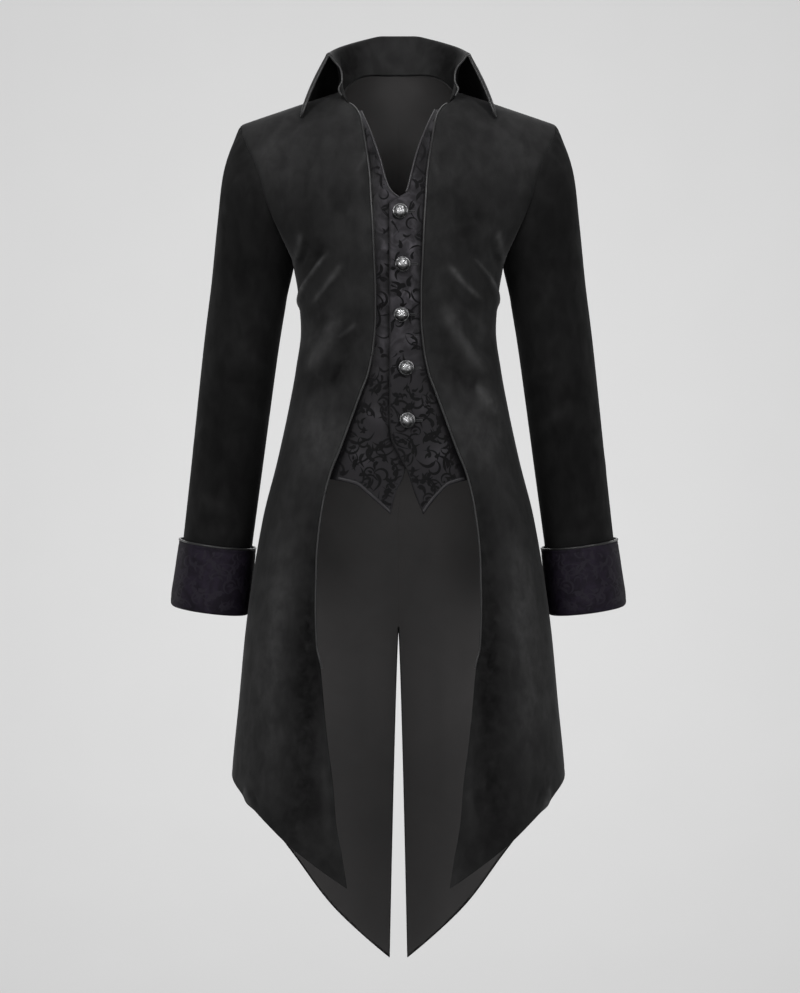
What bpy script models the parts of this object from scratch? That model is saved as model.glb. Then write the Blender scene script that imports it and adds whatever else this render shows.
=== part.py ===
"""A long velvet tailcoat with a false waistcoat front, hollow, in the form that it has when worn.

Metres, +Z up. The origin is the middle of the neck base, where the wearer's shoulders carry
the coat. The front looks along -Y, and +X is the wearer's left.
"""

import bisect
import math

import bpy
import numpy as np
from mathutils import Vector

COLLECTION = "long_coat"

# Walls and clearances.
VELVET = 0.0020
LINING = 0.0010
JACQUARD = 0.0015
SEAM_GAP = 0.0003
LINING_GAP = 0.0007
LINING_EDGE = 0.0040
EDGE_GAP = 0.0005
MIRROR_MERGE = 0.0001
PIPING_RADIUS = 0.0016
BINDING_RADIUS = 0.0012

# Heights of the coat body.
CHEST_Z = -0.238
VENT_TOP_Z = -0.756
TAIL_TIP_Z = -1.235
PIPING_END_Z = -0.800

# Shoulders and neck.
NECK_X = 0.080
SHOULDER_X = 0.219
SHOULDER_SLOPE = 0.335
SHOULDER_Y = 0.008
NAPE_RISE = 0.0703
NAPE_POWER = 1.4
CHEST_FRONT = 0.122
CHEST_BACK = 0.118
CHEST_POWER = 2.5
COLLAR_END_T = 0.7375
NAPE_T = 0.674
PIPING_UNDER_COLLAR = 0.012
COLLAR_PIPING_START = 0.35
VENT_OPENING = 0.013
VENT_POWER = 0.75

# Panel grids.
FRONT_COLUMNS = 10
BACK_COLUMNS = 8
BACK_NECK_COLUMNS = 3
LOWER_ROWS = 20
LOWER_ROW_POWER = 1.4
UPPER_ROWS = 8
SLEEVE_COLUMNS = 20
COLLAR_COLUMNS = 9
NORMAL_STEP = 0.001
BESIDE_EDGE_U = 0.03


class Table:
    """A short table with named columns. The first is the place, and the others are read at it."""

    def __init__(self, columns, *rows):
        names = columns.split()
        self.columns = dict(zip(names, zip(*rows)))
        self.places = self.columns[names[0]]

    def slope(self, values, i):
        """Slope at row i that keeps the curve between the rows' own values."""
        places = self.places
        last = len(places) - 1
        before = (values[i] - values[i - 1]) / (places[i] - places[i - 1]) if i > 0 else None
        after = (values[i + 1] - values[i]) / (places[i + 1] - places[i]) if i < last else None
        if before is None or after is None:
            return after if before is None else before
        return 2 * before * after / (before + after) if before * after > 0 else 0.0

    def read(self, column, place):
        """The column's value at a place, on a smooth curve through the rows."""
        places = self.places
        values = self.columns[column]
        i = min(max(bisect.bisect_right(places, place) - 1, 0), len(places) - 2)
        step = places[i + 1] - places[i]
        s = min(max((place - places[i]) / step, 0.0), 1.0)
        start = (1 + 2 * s) * values[i] + s * step * self.slope(values, i)
        end = (3 - 2 * s) * values[i + 1] + (s - 1) * step * self.slope(values, i + 1)
        return (1 - s) ** 2 * start + s**2 * end


# Half sections of the body below the chest line, from the tails up: half width at the side
# seam, depth of the front and of the back from there, and roundness of the section.
BODY = Table(
    "z half_width front back power",
    (-1.250, 0.243, 0.165, 0.168, 2.2),
    (-1.100, 0.238, 0.163, 0.166, 2.2),
    (-0.956, 0.231, 0.160, 0.163, 2.2),
    (-0.851, 0.221, 0.156, 0.158, 2.2),
    (-0.746, 0.211, 0.150, 0.152, 2.2),
    (-0.599, 0.188, 0.138, 0.141, 2.2),
    (-0.515, 0.167, 0.127, 0.130, 2.25),
    (-0.431, 0.149, 0.117, 0.115, 2.3),
    (-0.389, 0.1415, 0.113, 0.108, 2.35),
    (-0.333, 0.1345, 0.111, 0.104, 2.4),
    (-0.285, 0.138, 0.117, 0.112, 2.45),
    (CHEST_Z, 0.146, CHEST_FRONT, CHEST_BACK, CHEST_POWER),
)

# The front edge below the chest line: its distance from the middle.
FRONT_EDGE = Table(
    "z x",
    (-1.095, 0.0695),
    (-1.055, 0.0757),
    (-1.009, 0.0838),
    (-0.953, 0.0885),
    (-0.902, 0.0953),
    (-0.859, 0.1000),
    (-0.800, 0.1056),
    (-0.769, 0.1124),
    (-0.720, 0.1139),
    (-0.653, 0.1128),
    (-0.612, 0.1095),
    (-0.571, 0.1034),
    (-0.533, 0.0940),
    (-0.502, 0.0817),
    (-0.463, 0.0675),
    (-0.422, 0.0525),
    (-0.398, 0.0436),
    (-0.358, 0.0361),
    (-0.321, 0.0334),
    (-0.284, 0.0334),
    (CHEST_Z, 0.0354),
)

# The body above the chest line, from there (0) to the shoulder seam (1): half width of the
# whole section, the armhole seam's and the front edge's distances from the middle.
YOKE = Table(
    "t half_width armhole edge",
    (0.00, 0.146, 0.1460, 0.0354),
    (0.13, 0.176, 0.1660, 0.0375),
    (0.20, 0.193, 0.1757, 0.0392),
    (0.30, 0.214, 0.1860, 0.0410),
    (0.37, 0.225, 0.1900, 0.0435),
    (0.47, 0.238, 0.1980, 0.0481),
    (0.61, 0.241, 0.2100, 0.0545),
    (0.69, 0.240, 0.2145, 0.0630),
    (0.74, 0.238, 0.2170, 0.0735),
    (0.85, 0.232, 0.2185, 0.0770),
    (1.00, 0.224, SHOULDER_X, NECK_X),
)

# Height of the hem, high at the side seams, from the front edge or the centre back (0) to the
# side seam (1).
HEM = Table(
    "u front back",
    (0.0, -1.0954, TAIL_TIP_Z),
    (0.2, -1.0527, -1.165),
    (0.4, -1.0130, -1.085),
    (0.6, -0.9850, -1.020),
    (0.8, -0.9650, -0.977),
    (1.0, -0.9500, -0.950),
)

# Soft flares that grow from the hips to the hem, round the side seam: negative angles are on
# the front and positive ones on the back, in degrees from the side seam.
FLARES = (
    {"angle": -52.0, "width": 13.0, "height": 0.0045, "top": -0.50},
    {"angle": -22.0, "width": 9.0, "height": -0.0035, "top": -0.62},
    {"angle": 24.0, "width": 12.0, "height": 0.0060, "top": -0.46},
    {"angle": 50.0, "width": 10.0, "height": -0.0060, "top": -0.48},
    {"angle": 72.0, "width": 9.0, "height": 0.0055, "top": -0.42},
)

# Creases that the waist draws in the fronts, each a soft ridge between two places.
CREASES = (
    {"x0": 0.128, "z0": -0.400, "x1": 0.070, "z1": -0.300, "width": 0.016, "height": 0.0032},
    {"x0": 0.134, "z0": -0.300, "x1": 0.086, "z1": -0.215, "width": 0.011, "height": 0.0028},
    {"x0": 0.112, "z0": -0.350, "x1": 0.078, "z1": -0.262, "width": 0.011, "height": 0.0016},
)
CREASE_FADE = 3
YOKE_CREASE_FADE = 4

# The sleeve below the upper arm: the rings' centres and halves, and the slope of the arm.
SLEEVE = Table(
    "z x y half_width half_depth",
    (-0.722, 0.2665, 0.0450, 0.0458, 0.0500),
    (-0.627, 0.2545, 0.0360, 0.0465, 0.0520),
    (-0.515, 0.2403, 0.0260, 0.0478, 0.0570),
    (-0.431, 0.2300, 0.0190, 0.0490, 0.0610),
    (-0.347, 0.2194, 0.0140, 0.0502, 0.0645),
    (-0.290, 0.2110, 0.0110, 0.0512, 0.0660),
)
ARM_OUT = 0.129
ARM_BACK = 0.066
SLEEVE_CAP_STEPS = (0.0, 0.10, 0.22, 0.36, 0.54, 0.76)
SLEEVE_RINGS = (-0.290, -0.347, -0.405, -0.463, -0.521, -0.579, -0.640, -0.7205)
ARMHOLE_GAP = 0.0007
ARMPIT_CLEARANCE = 0.0032
ARMPIT_SHARE = 0.55
# The way that the sleeve cap leaves the armhole seam: at the armpit, and what its top and its
# front and back add to that.
CAP_LEAVE = np.array((0.15, 0.0, -0.99))
CAP_LEAVE_TOP = np.array((0.25, 0.0, 0.07))
CAP_LEAVE_SIDE = np.array((0.45, 0.0, 0.30))
CAP_LEAVE_FORWARD = np.array((0.0, -0.12, 0.0))

# The turn-back cuff, from inside the sleeve, round its end and up on the outside: height of
# the ring's middle and distance out from the inner face of the sleeve.
CUFF_TURN = (
    {"z": -0.7020, "out": -0.0005},
    {"z": -0.7225, "out": -0.0005},
    {"z": -0.7245, "out": 0.0018},
    {"z": -0.7247, "out": 0.0055},
    {"z": -0.7225, "out": 0.0078},
    {"z": -0.7080, "out": 0.0086},
    {"z": -0.6700, "out": 0.0072},
    {"z": -0.6345, "out": 0.0059},
)

# The collar from the centre back (0) to its front ends (1): the fold at the top of the stand
# and the edge of the fall.
COLLAR = Table(
    "q fold_x fold_y fold_z edge_x edge_y edge_z",
    (0.0, 0.0000, 0.0760, 0.0830, 0.0000, 0.0960, 0.010),
    (0.3, 0.0440, 0.0620, 0.0760, 0.0610, 0.0800, 0.005),
    (0.6, 0.0840, 0.0180, 0.0585, 0.1170, 0.0300, -0.004),
    (0.8, 0.0925, -0.0100, 0.0500, 0.1290, -0.0080, -0.009),
    (0.9, 0.0940, -0.0230, 0.0475, 0.1325, -0.0300, -0.022),
    (1.0, 0.0935, -0.0350, 0.0440, 0.1340, -0.0510, -0.039),
)
COLLAR_NECK_SHARE = 0.6
COLLAR_SEAT = 0.0008
FOLD_RADIUS = 0.0026
STAND_ROWS = (0.0, 0.27, 0.5, 0.73, 0.94)
FOLD_TURNS = (0.75, 0.5, 0.25)
FALL_ROWS = (0.06, 0.35, 0.68, 1.0)
FALL_BULGE = 0.0022
# How the stand's front end sways away from a straight line, from the neck (0) to the fold (1).
STAND_SWAY = Table(
    "s sway",
    (0.00, 0.0),
    (0.27, 0.0045),
    (0.50, -0.004),
    (0.73, -0.007),
    (1.00, 0.0),
)

# The waistcoat panels' centre edges: the wearer's left panel lies on top and reaches past the
# middle, and the right one lies under it. Each runs from its point up to the shoulder end.
VEST_EDGE_LEFT = Table(
    "z x",
    (-0.5900, 0.0345),
    (-0.5720, 0.0268),
    (-0.5545, 0.0202),
    (-0.5310, 0.0124),
    (-0.5100, 0.0014),
    (-0.4850, -0.0100),
    (-0.4600, -0.0123),
    (-0.2500, -0.0123),
    (-0.1660, -0.0123),
    (-0.1545, 0.0030),
    (-0.1485, 0.0125),
    (-0.1270, 0.0183),
    (-0.0930, 0.0268),
    (-0.0560, 0.0400),
    (-0.0280, 0.0520),
)
VEST_EDGE_RIGHT = Table(
    "z x",
    (-0.5900, 0.0110),
    (-0.5620, 0.0042),
    (-0.5310, -0.0090),
    (-0.5000, -0.0125),
    (-0.4000, -0.0125),
    (-0.2500, -0.0110),
    (-0.1640, -0.0110),
    (-0.1560, 0.0010),
    (-0.1500, 0.0085),
    (-0.1400, 0.0155),
    (-0.0980, 0.0275),
    (-0.0620, 0.0400),
    (-0.0300, 0.0530),
)
# The waistcoat's lower edge from its point (0) to the hidden side edge (1), and that edge.
VEST_HEM = Table(
    "w z",
    (0.00, -0.5900),
    (0.25, -0.5650),
    (0.45, -0.5490),
    (1.00, -0.5350),
)
VEST_SIDE = Table(
    "z x",
    (-0.5900, 0.1500),
    (-0.4500, 0.1150),
    (-0.3330, 0.0980),
    (-0.2380, 0.0950),
    (-0.1000, 0.0950),
    (-0.0300, 0.0960),
)
# The waistcoat hangs straight from the waist, so its depth leaves the coat's below it.
VEST_DEPTH = Table(
    "z front",
    (-0.600, 0.1215),
    (-0.515, 0.1190),
    (-0.431, 0.1155),
    (-0.389, 0.1130),
    (-0.333, 0.1110),
)
VEST_COLUMNS = 7
VEST_COLUMN_POWER = 1.15
VEST_ROWS = 24
VEST_END_SHARE = 0.4
VEST_INSET = 0.0042
VEST_SIDE_INSET = 0.0034
VEST_SIDE_START = 0.6
VEST_UNDERLAP = {"start": -0.040, "end": -0.022, "drop": 0.0027}
BINDING_LOW_Z = {"left": -0.150, "right": -0.158}

# Buttons on the waistcoat, from the top: place on the panel.
BUTTONS = (
    {"x": 0.0027, "z": -0.1770},
    {"x": 0.0060, "z": -0.2490},
    {"x": 0.0041, "z": -0.3174},
    {"x": 0.0109, "z": -0.3904},
    {"x": 0.0123, "z": -0.4620},
)
BUTTON_STEPS = 14
BUTTON_MERGE = 0.00001
# Turned profile of a button, from the middle of its dome down to its shank: radius and height.
BUTTON_PROFILE = (
    {"radius": 0.0000, "height": 0.0086},
    {"radius": 0.0048, "height": 0.0079},
    {"radius": 0.0082, "height": 0.0058},
    {"radius": 0.0103, "height": 0.0046},
    {"radius": 0.0105, "height": 0.0030},
    {"radius": 0.0036, "height": 0.0022},
    {"radius": 0.0034, "height": 0.0000},
    {"radius": 0.0000, "height": 0.0000},
)
BUTTON_SEAT = 0.0008

MATERIALS = {
    "velvet": {"colour": (0.010, 0.010, 0.011), "roughness": 0.85, "metallic": 0.0},
    "lining": {"colour": (0.028, 0.026, 0.026), "roughness": 0.60, "metallic": 0.0},
    "vest_jacquard": {"colour": (0.050, 0.049, 0.054), "roughness": 0.50, "metallic": 0.0},
    "cuff_jacquard": {"colour": (0.018, 0.015, 0.023), "roughness": 0.60, "metallic": 0.0},
    "satin_piping": {"colour": (0.050, 0.050, 0.052), "roughness": 0.35, "metallic": 0.0},
    "pewter": {"colour": (0.420, 0.420, 0.430), "roughness": 0.30, "metallic": 1.0},
}


def mix(a, b, share):
    return a + (b - a) * share


def smoothstep(x):
    x = min(max(x, 0.0), 1.0)
    return x * x * (3 - 2 * x)


def section_x(half_width, angle, power):
    """Distance from the middle at an angle round a section, 0 at the side seam."""
    return half_width * max(math.cos(angle), 0.0) ** (2 / power)


def section_angle(half_width, x, power):
    return math.acos(min(max(x / half_width, 0.0), 1.0) ** (power / 2))


def section_depth(half_width, depth, x, power):
    """How far a section stands in front of its side line, or behind it, at a distance x."""
    return depth * max(0.0, 1 - min(abs(x) / half_width, 1.0) ** power) ** (1 / power)


def shoulder_height(x, back):
    """Height of the shoulder line, which rises to the nape on the back."""
    if abs(x) >= NECK_X:
        return -SHOULDER_SLOPE * (abs(x) - NECK_X)
    return NAPE_RISE * (1 - (abs(x) / NECK_X) ** NAPE_POWER) if back else 0.0


def yoke_point(x, t, half_width, back):
    """A point between the chest line and the shoulder seam, on a quarter of an ellipse."""
    rise = math.sin(t * math.pi / 2)
    lean = math.cos(t * math.pi / 2)
    depth = CHEST_BACK if back else -CHEST_FRONT
    y = section_depth(half_width, depth, x, CHEST_POWER)
    z = mix(CHEST_Z, shoulder_height(x, back), rise)
    return np.array((x, mix(SHOULDER_Y, y, lean), z))


def flare(signed_angle, z):
    """Height of the skirt's flares at a signed angle round the section."""
    degrees = math.degrees(signed_angle)
    total = 0.0
    for row in FLARES:
        grown = smoothstep((row["top"] - z) / (row["top"] - TAIL_TIP_Z))
        total += row["height"] * grown * math.exp(-(((degrees - row["angle"]) / row["width"]) ** 2))
    return total


def crease(x, z):
    """Height of the fronts' creases at a place."""
    total = 0.0
    for row in CREASES:
        start = np.array((row["x0"], row["z0"]))
        run = np.array((row["x1"], row["z1"])) - start
        length = math.hypot(*run)
        run = run / length
        away = np.array((x, z)) - start
        along = float(away @ run) / length
        across = float(away @ np.array((-run[1], run[0])))
        fade = smoothstep(along * CREASE_FADE) * smoothstep((1 - along) * CREASE_FADE)
        total += row["height"] * fade * math.exp(-((across / row["width"]) ** 2))
    return total


def front_base(u, v):
    """A point of the left front and the height of its folds there: u runs from the front edge
    to the side seam, and v from the hem by the chest line (1) to the shoulder seam (2)."""
    if v <= 1:
        z = mix(HEM.read("front", u), CHEST_Z, v)
        half_width = BODY.read("half_width", z)
        power = BODY.read("power", z)
        edge = section_angle(half_width, FRONT_EDGE.read("x", z), power)
        angle = edge * (1 - u)
        x = section_x(half_width, angle, power)
        y = -BODY.read("front", z) * math.sin(angle) ** (2 / power)
        return np.array((x, y, z)), flare(-angle, z) + crease(x, z)
    t = v - 1
    half_width = YOKE.read("half_width", t)
    armhole = YOKE.read("armhole", t)
    edge = YOKE.read("edge", t)
    start = section_angle(half_width, edge, CHEST_POWER)
    end = section_angle(half_width, armhole, CHEST_POWER)
    round_x = section_x(half_width, mix(start, end, u), CHEST_POWER)
    x = mix(round_x, mix(edge, armhole, u), smoothstep(t))
    point = yoke_point(x, t, half_width, back=False)
    return point, crease(x, point[2]) * smoothstep((1 - u) * YOKE_CREASE_FADE)


def vent_x(z):
    """Distance of the centre back edge from the middle, which opens below the vent's top."""
    share = max(0.0, (VENT_TOP_Z - z) / (VENT_TOP_Z - TAIL_TIP_Z))
    return VENT_OPENING * share**VENT_POWER


def back_base(u, v):
    """A point of the left back and the height of its folds there: u runs from the centre back
    to the side seam, and v as on the front."""
    if v <= 1:
        z = mix(HEM.read("back", u), CHEST_Z, v)
        half_width = BODY.read("half_width", z)
        power = BODY.read("power", z)
        angle = section_angle(half_width, vent_x(z), power) * (1 - u)
        x = section_x(half_width, angle, power)
        y = BODY.read("back", z) * math.sin(angle) ** (2 / power)
        return np.array((x, y, z)), flare(angle, z)
    neck_u = BACK_NECK_COLUMNS / BACK_COLUMNS
    top_t = mix(NAPE_T, 1.0, min(u / neck_u, 1.0) ** 2)
    t = (v - 1) * top_t
    half_width = YOKE.read("half_width", t)
    armhole = YOKE.read("armhole", t)
    end = section_angle(half_width, armhole, CHEST_POWER)
    round_x = section_x(half_width, mix(math.pi / 2, end, u), CHEST_POWER)
    if u <= neck_u:
        top_x = NECK_X * u / neck_u
    else:
        top_x = mix(NECK_X, SHOULDER_X, (u - neck_u) / (1 - neck_u))
    x = mix(round_x, top_x * armhole / SHOULDER_X, smoothstep(v - 1))
    return yoke_point(x, t, half_width, back=True), 0.0


def raised(base, outward, u, v, out=0.0):
    """The point of a panel at (u, v) with its folds, moved out along the panel's own normal."""
    point, relief = base(u, v)
    u_before = max(u - NORMAL_STEP, 0.0)
    v_before = max(v - NORMAL_STEP, 0.0)
    along_u = base(min(u + NORMAL_STEP, 1.0), v)[0] - base(u_before, v)[0]
    along_v = base(u, min(v + NORMAL_STEP, 2.0))[0] - base(u, v_before)[0]
    normal = np.cross(along_u, along_v) * outward
    return point + normal / np.linalg.norm(normal) * (relief + out)


def front_point(u, v, out=0.0):
    return raised(front_base, 1, u, v, out)


def back_point(u, v, out=0.0):
    return raised(back_base, -1, u, v, out)


def body_rows():
    """Values of v for a body panel's rows, closest near the chest line."""
    lower = [1 - (k / LOWER_ROWS) ** LOWER_ROW_POWER for k in range(LOWER_ROWS, 0, -1)]
    return lower + [1 + k / UPPER_ROWS for k in range(UPPER_ROWS + 1)]


def grid_of(point, columns, rows):
    """Points of a panel as an array of rows, columns and coordinates."""
    return np.array([[point(u, v) for u in columns] for v in rows])


def pulled_in(grid, edges, amount):
    """The grid with its named edges moved in along the cloth."""
    grid = grid.copy()
    views = {
        "first": grid,
        "last": grid[:, ::-1],
        "bottom": grid.swapaxes(0, 1),
        "top": grid.swapaxes(0, 1)[:, ::-1],
    }
    for edge in edges:
        view = views[edge]
        inward = view[:, 1] - view[:, 0]
        view[:, 0] += amount * inward / np.linalg.norm(inward, axis=-1, keepdims=True)
    return grid


def material(name):
    """The Principled material of this name, made once."""
    found = bpy.data.materials.get(name)
    if found:
        return found
    made = bpy.data.materials.new(name)
    made.use_nodes = True
    look = MATERIALS[name]
    shader = made.node_tree.nodes["Principled BSDF"]
    shader.inputs["Base Color"].default_value = (*look["colour"], 1.0)
    shader.inputs["Roughness"].default_value = look["roughness"]
    shader.inputs["Metallic"].default_value = look["metallic"]
    return made


def placed(name, data, material_name):
    """A new object in the coat's collection."""
    thing = bpy.data.objects.new(name, data)
    bpy.data.collections[COLLECTION].objects.link(thing)
    data.materials.append(material(material_name))
    return thing


def cloth(
    name,
    grid,
    thickness,
    material_name,
    ring=False,
    mirror_x=False,
    symmetric=False,
    behind=None,
):
    """A wall of cloth: an open grid of points, made thick on the side that its faces look to,
    or on the other side with a gap behind the points."""
    rows, columns = grid.shape[:2]
    points = grid.reshape(-1, 3) * ((-1, 1, 1) if mirror_x else (1, 1, 1))
    faces = []
    for i in range(rows - 1):
        for j in range(columns if ring else columns - 1):
            k = (j + 1) % columns
            low = i * columns
            high = low + columns
            for face in ((low + j, low + k, high + k), (low + j, high + k, high + j)):
                faces.append(face[::-1] if mirror_x else face)
    mesh = bpy.data.meshes.new(name)
    mesh.from_pydata(points.tolist(), [], faces)
    mesh.shade_smooth()
    thing = placed(name, mesh, material_name)
    if symmetric:
        mirror = thing.modifiers.new("halves", "MIRROR")
        mirror.merge_threshold = MIRROR_MERGE
    wall = thing.modifiers.new("wall", "SOLIDIFY")
    wall.thickness = thickness
    wall.offset = 1.0 if behind is None else -1 - 2 * behind / thickness
    wall.use_even_offset = True
    return thing


def cord(name, path, radius, material_name, cyclic=False, mirror_x=False):
    """Piping along a path, as a curve with a round bevel."""
    curve = bpy.data.curves.new(name, "CURVE")
    curve.dimensions = "3D"
    curve.bevel_depth = radius
    curve.bevel_resolution = 1
    curve.use_fill_caps = True
    spline = curve.splines.new("POLY")
    spline.points.add(len(path) - 1)
    for spot, point in zip(spline.points, path):
        spot.co = (-point[0] if mirror_x else point[0], point[1], point[2], 1.0)
    spline.use_cyclic_u = cyclic
    return placed(name, curve, material_name)


def make_fronts():
    columns = [k / FRONT_COLUMNS for k in range(FRONT_COLUMNS + 1)]
    grid = grid_of(front_point, columns, body_rows())
    grid = pulled_in(grid, ("last", "top"), SEAM_GAP / 2)
    for side, mirrored in (("left", False), ("right", True)):
        cloth(f"front_{side}", grid, VELVET, "velvet", mirror_x=mirrored)


def make_backs():
    columns = [k / BACK_COLUMNS for k in range(BACK_COLUMNS + 1)]
    grid = grid_of(back_point, columns, body_rows())
    grid = pulled_in(grid, ("first", "last", "top"), SEAM_GAP / 2)[:, ::-1]
    for side, mirrored in (("left", False), ("right", True)):
        cloth(f"back_{side}", grid, VELVET, "velvet", mirror_x=mirrored)


def make_lining():
    """One piece over the inside of both backs, on their own points, slit at the vent."""
    columns = [k / BACK_COLUMNS for k in range(BACK_COLUMNS + 1)]
    grid = grid_of(back_point, columns, body_rows())
    whole = grid[:, 0, 2] > VENT_TOP_Z
    slit = pulled_in(grid, ("first",), LINING_EDGE / 2)
    grid[~whole] = slit[~whole]
    grid[whole, 0, 0] = 0.0
    grid = pulled_in(grid, ("last",), SEAM_GAP / 2)
    grid = pulled_in(grid, ("top", "bottom"), LINING_EDGE)[:, ::-1]
    cloth("lining_back", grid, LINING, "lining", symmetric=True, behind=LINING_GAP)


def square_off(directions, path):
    """Unit directions at the points of a path, made square to it."""
    tangents = np.gradient(path, axis=0)
    tangents /= np.linalg.norm(tangents, axis=1, keepdims=True)
    directions = directions - tangents * np.sum(directions * tangents, axis=1, keepdims=True)
    return directions / np.linalg.norm(directions, axis=1, keepdims=True)


def front_edge_v(z):
    """The v at which the left front's edge has this height below the chest line."""
    hem = HEM.read("front", 0.0)
    return (z - hem) / (CHEST_Z - hem)


def make_front_piping():
    """Piping just off the front edges, from the collar's end down to the hips."""
    start = front_edge_v(PIPING_END_Z)
    end = 1 + COLLAR_END_T - PIPING_UNDER_COLLAR
    stations = [start] + [v for v in body_rows() if start < v < end] + [end]
    edge = np.array([front_point(0.0, v, VELVET / 2) for v in stations])
    beside = np.array([front_point(BESIDE_EDGE_U, v, VELVET / 2) for v in stations])
    path = edge + square_off(edge - beside, edge) * (PIPING_RADIUS + EDGE_GAP)
    for side, mirrored in (("left", False), ("right", True)):
        name = f"front_piping_{side}"
        cord(name, path, PIPING_RADIUS, "satin_piping", mirror_x=mirrored)


def sleeve_ring(angle, z, out=0.0):
    """A point round the left sleeve, angle 0 at the body, a quarter turn at the front."""
    across = -math.cos(angle) * (SLEEVE.read("half_width", z) + out)
    deep = -math.sin(angle) * (SLEEVE.read("half_depth", z) + out)
    height = z + across * ARM_OUT + deep * ARM_BACK
    return np.array((SLEEVE.read("x", z) + across, SLEEVE.read("y", z) + deep, height))


def armhole_point(angle):
    """The armhole seam at an angle round it, a seam gap out from the body's panels."""
    t = 1 - abs(angle / math.pi - 1)
    point = front_point(1.0, 1 + t) if angle <= math.pi else back_point(1.0, 1 + t)
    clear = ARMHOLE_GAP + ARMPIT_CLEARANCE * (1 - smoothstep(t / ARMPIT_SHARE))
    return point + np.array((clear, 0.0, -clear / 2))


def sleeve_cap(angle, s):
    """A point between the armhole seam (0) and the upper arm's ring (1)."""
    start = armhole_point(angle)
    end = sleeve_ring(angle, SLEEVE_RINGS[0])
    top = math.sin(angle / 2) ** 2
    side = math.sin(angle) ** 2
    leave = CAP_LEAVE + CAP_LEAVE_TOP * top + CAP_LEAVE_SIDE * side
    leave = leave + CAP_LEAVE_FORWARD * math.sin(angle)
    arrive = np.array((ARM_OUT, ARM_BACK, -1.0))
    reach = float(np.linalg.norm(end - start))
    leave *= reach / np.linalg.norm(leave)
    arrive *= reach / np.linalg.norm(arrive)
    start_part = (1 - s) ** 2 * ((1 + 2 * s) * start + s * leave)
    return start_part + s**2 * ((3 - 2 * s) * end + (s - 1) * arrive)


def round_angles():
    return [2 * math.pi * k / SLEEVE_COLUMNS for k in range(SLEEVE_COLUMNS)]


def make_sleeves():
    angles = round_angles()
    cap = [[sleeve_cap(angle, step) for angle in angles] for step in SLEEVE_CAP_STEPS]
    arm = [[sleeve_ring(angle, z) for angle in angles] for z in SLEEVE_RINGS]
    grid = np.array(cap + arm)[::-1]
    for side, mirrored in (("left", False), ("right", True)):
        cloth(f"sleeve_{side}", grid, VELVET, "velvet", ring=True, mirror_x=mirrored)


def make_cuffs():
    """Cuffs that turn round the sleeves' ends, with piping on their top edges."""
    angles = round_angles()
    grid = np.array([
        [sleeve_ring(angle, row["z"], row["out"]) for angle in angles] for row in CUFF_TURN
    ])
    top = CUFF_TURN[-1]
    piping_z = top["z"] + SEAM_GAP + PIPING_RADIUS
    piping = [sleeve_ring(angle, piping_z, top["out"] + JACQUARD / 2) for angle in angles]
    for side, mirrored in (("left", False), ("right", True)):
        cloth(f"cuff_{side}", grid, JACQUARD, "cuff_jacquard", ring=True, mirror_x=mirrored)
        name = f"cuff_piping_{side}"
        cord(name, piping, PIPING_RADIUS, "satin_piping", cyclic=True, mirror_x=mirrored)


def neck_point(q):
    """The neck seam from the centre back (0) to the collar's front end (1)."""
    if q <= COLLAR_NECK_SHARE:
        neck_u = BACK_NECK_COLUMNS / BACK_COLUMNS
        return back_point(neck_u * q / COLLAR_NECK_SHARE, 2.0)
    share = (q - COLLAR_NECK_SHARE) / (1 - COLLAR_NECK_SHARE)
    return front_point(0.0, 1 + mix(1.0, COLLAR_END_T, share))


def collar_column(q):
    """One section of the collar, from the neck seam up the stand, over and down the fall."""
    neck = neck_point(q)
    fold = np.array([COLLAR.read(f"fold_{axis}", q) for axis in "xyz"])
    edge = np.array([COLLAR.read(f"edge_{axis}", q) for axis in "xyz"])
    outward = edge - neck
    outward[2] = 0.0
    outward /= np.linalg.norm(outward)
    neck = neck - outward * COLLAR_SEAT + np.array((0.0, 0.0, COLLAR_SEAT))
    front_share = max(0.0, (q - COLLAR_NECK_SHARE) / (1 - COLLAR_NECK_SHARE)) ** 2
    points = []
    for s in STAND_ROWS:
        sway = STAND_SWAY.read("sway", s) * front_share
        points.append(mix(neck, fold, s) + outward * sway)
    centre = fold + outward * FOLD_RADIUS
    for turn in FOLD_TURNS:
        lift = math.sin(turn * math.pi)
        swing = math.cos(turn * math.pi)
        points.append(centre + FOLD_RADIUS * (outward * swing + np.array((0.0, 0.0, lift))))
    fall_start = fold + outward * 2 * FOLD_RADIUS
    for s in FALL_ROWS:
        bulge = FALL_BULGE * math.sin(s * math.pi)
        points.append(mix(fall_start, edge, s) + outward * bulge)
    return points


def collar_grid():
    """The left half of the collar, a row for each line along it and a column for each section."""
    columns = [collar_column(k / COLLAR_COLUMNS) for k in range(COLLAR_COLUMNS + 1)]
    grid = np.array(columns).swapaxes(0, 1)
    grid[:, 0, 0] = 0.0
    return grid


def make_collar():
    grid = collar_grid()
    cloth("collar", grid, VELVET, "velvet", symmetric=True)


def make_collar_piping():
    """Piping up the stand's front end, over the fold, down to the tip and round the fall."""
    grid = collar_grid()
    ends = grid[:, -1]
    forward = square_off(ends - grid[:, -2], ends)
    down = square_off(grid[-1] - grid[-2], grid[-1])
    reach = PIPING_RADIUS + EDGE_GAP
    half = list(ends[:-1] + forward[:-1] * reach)
    half[0] = mix(half[0], half[1], COLLAR_PIPING_START)
    half.append(ends[-1] + (forward[-1] + down[-1]) * reach)
    half += list((grid[-1] + down * reach)[-2::-1])
    other = [point * np.array((-1, 1, 1)) for point in half[-2::-1]]
    cord("collar_piping", half + other, PIPING_RADIUS, "satin_piping")


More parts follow.
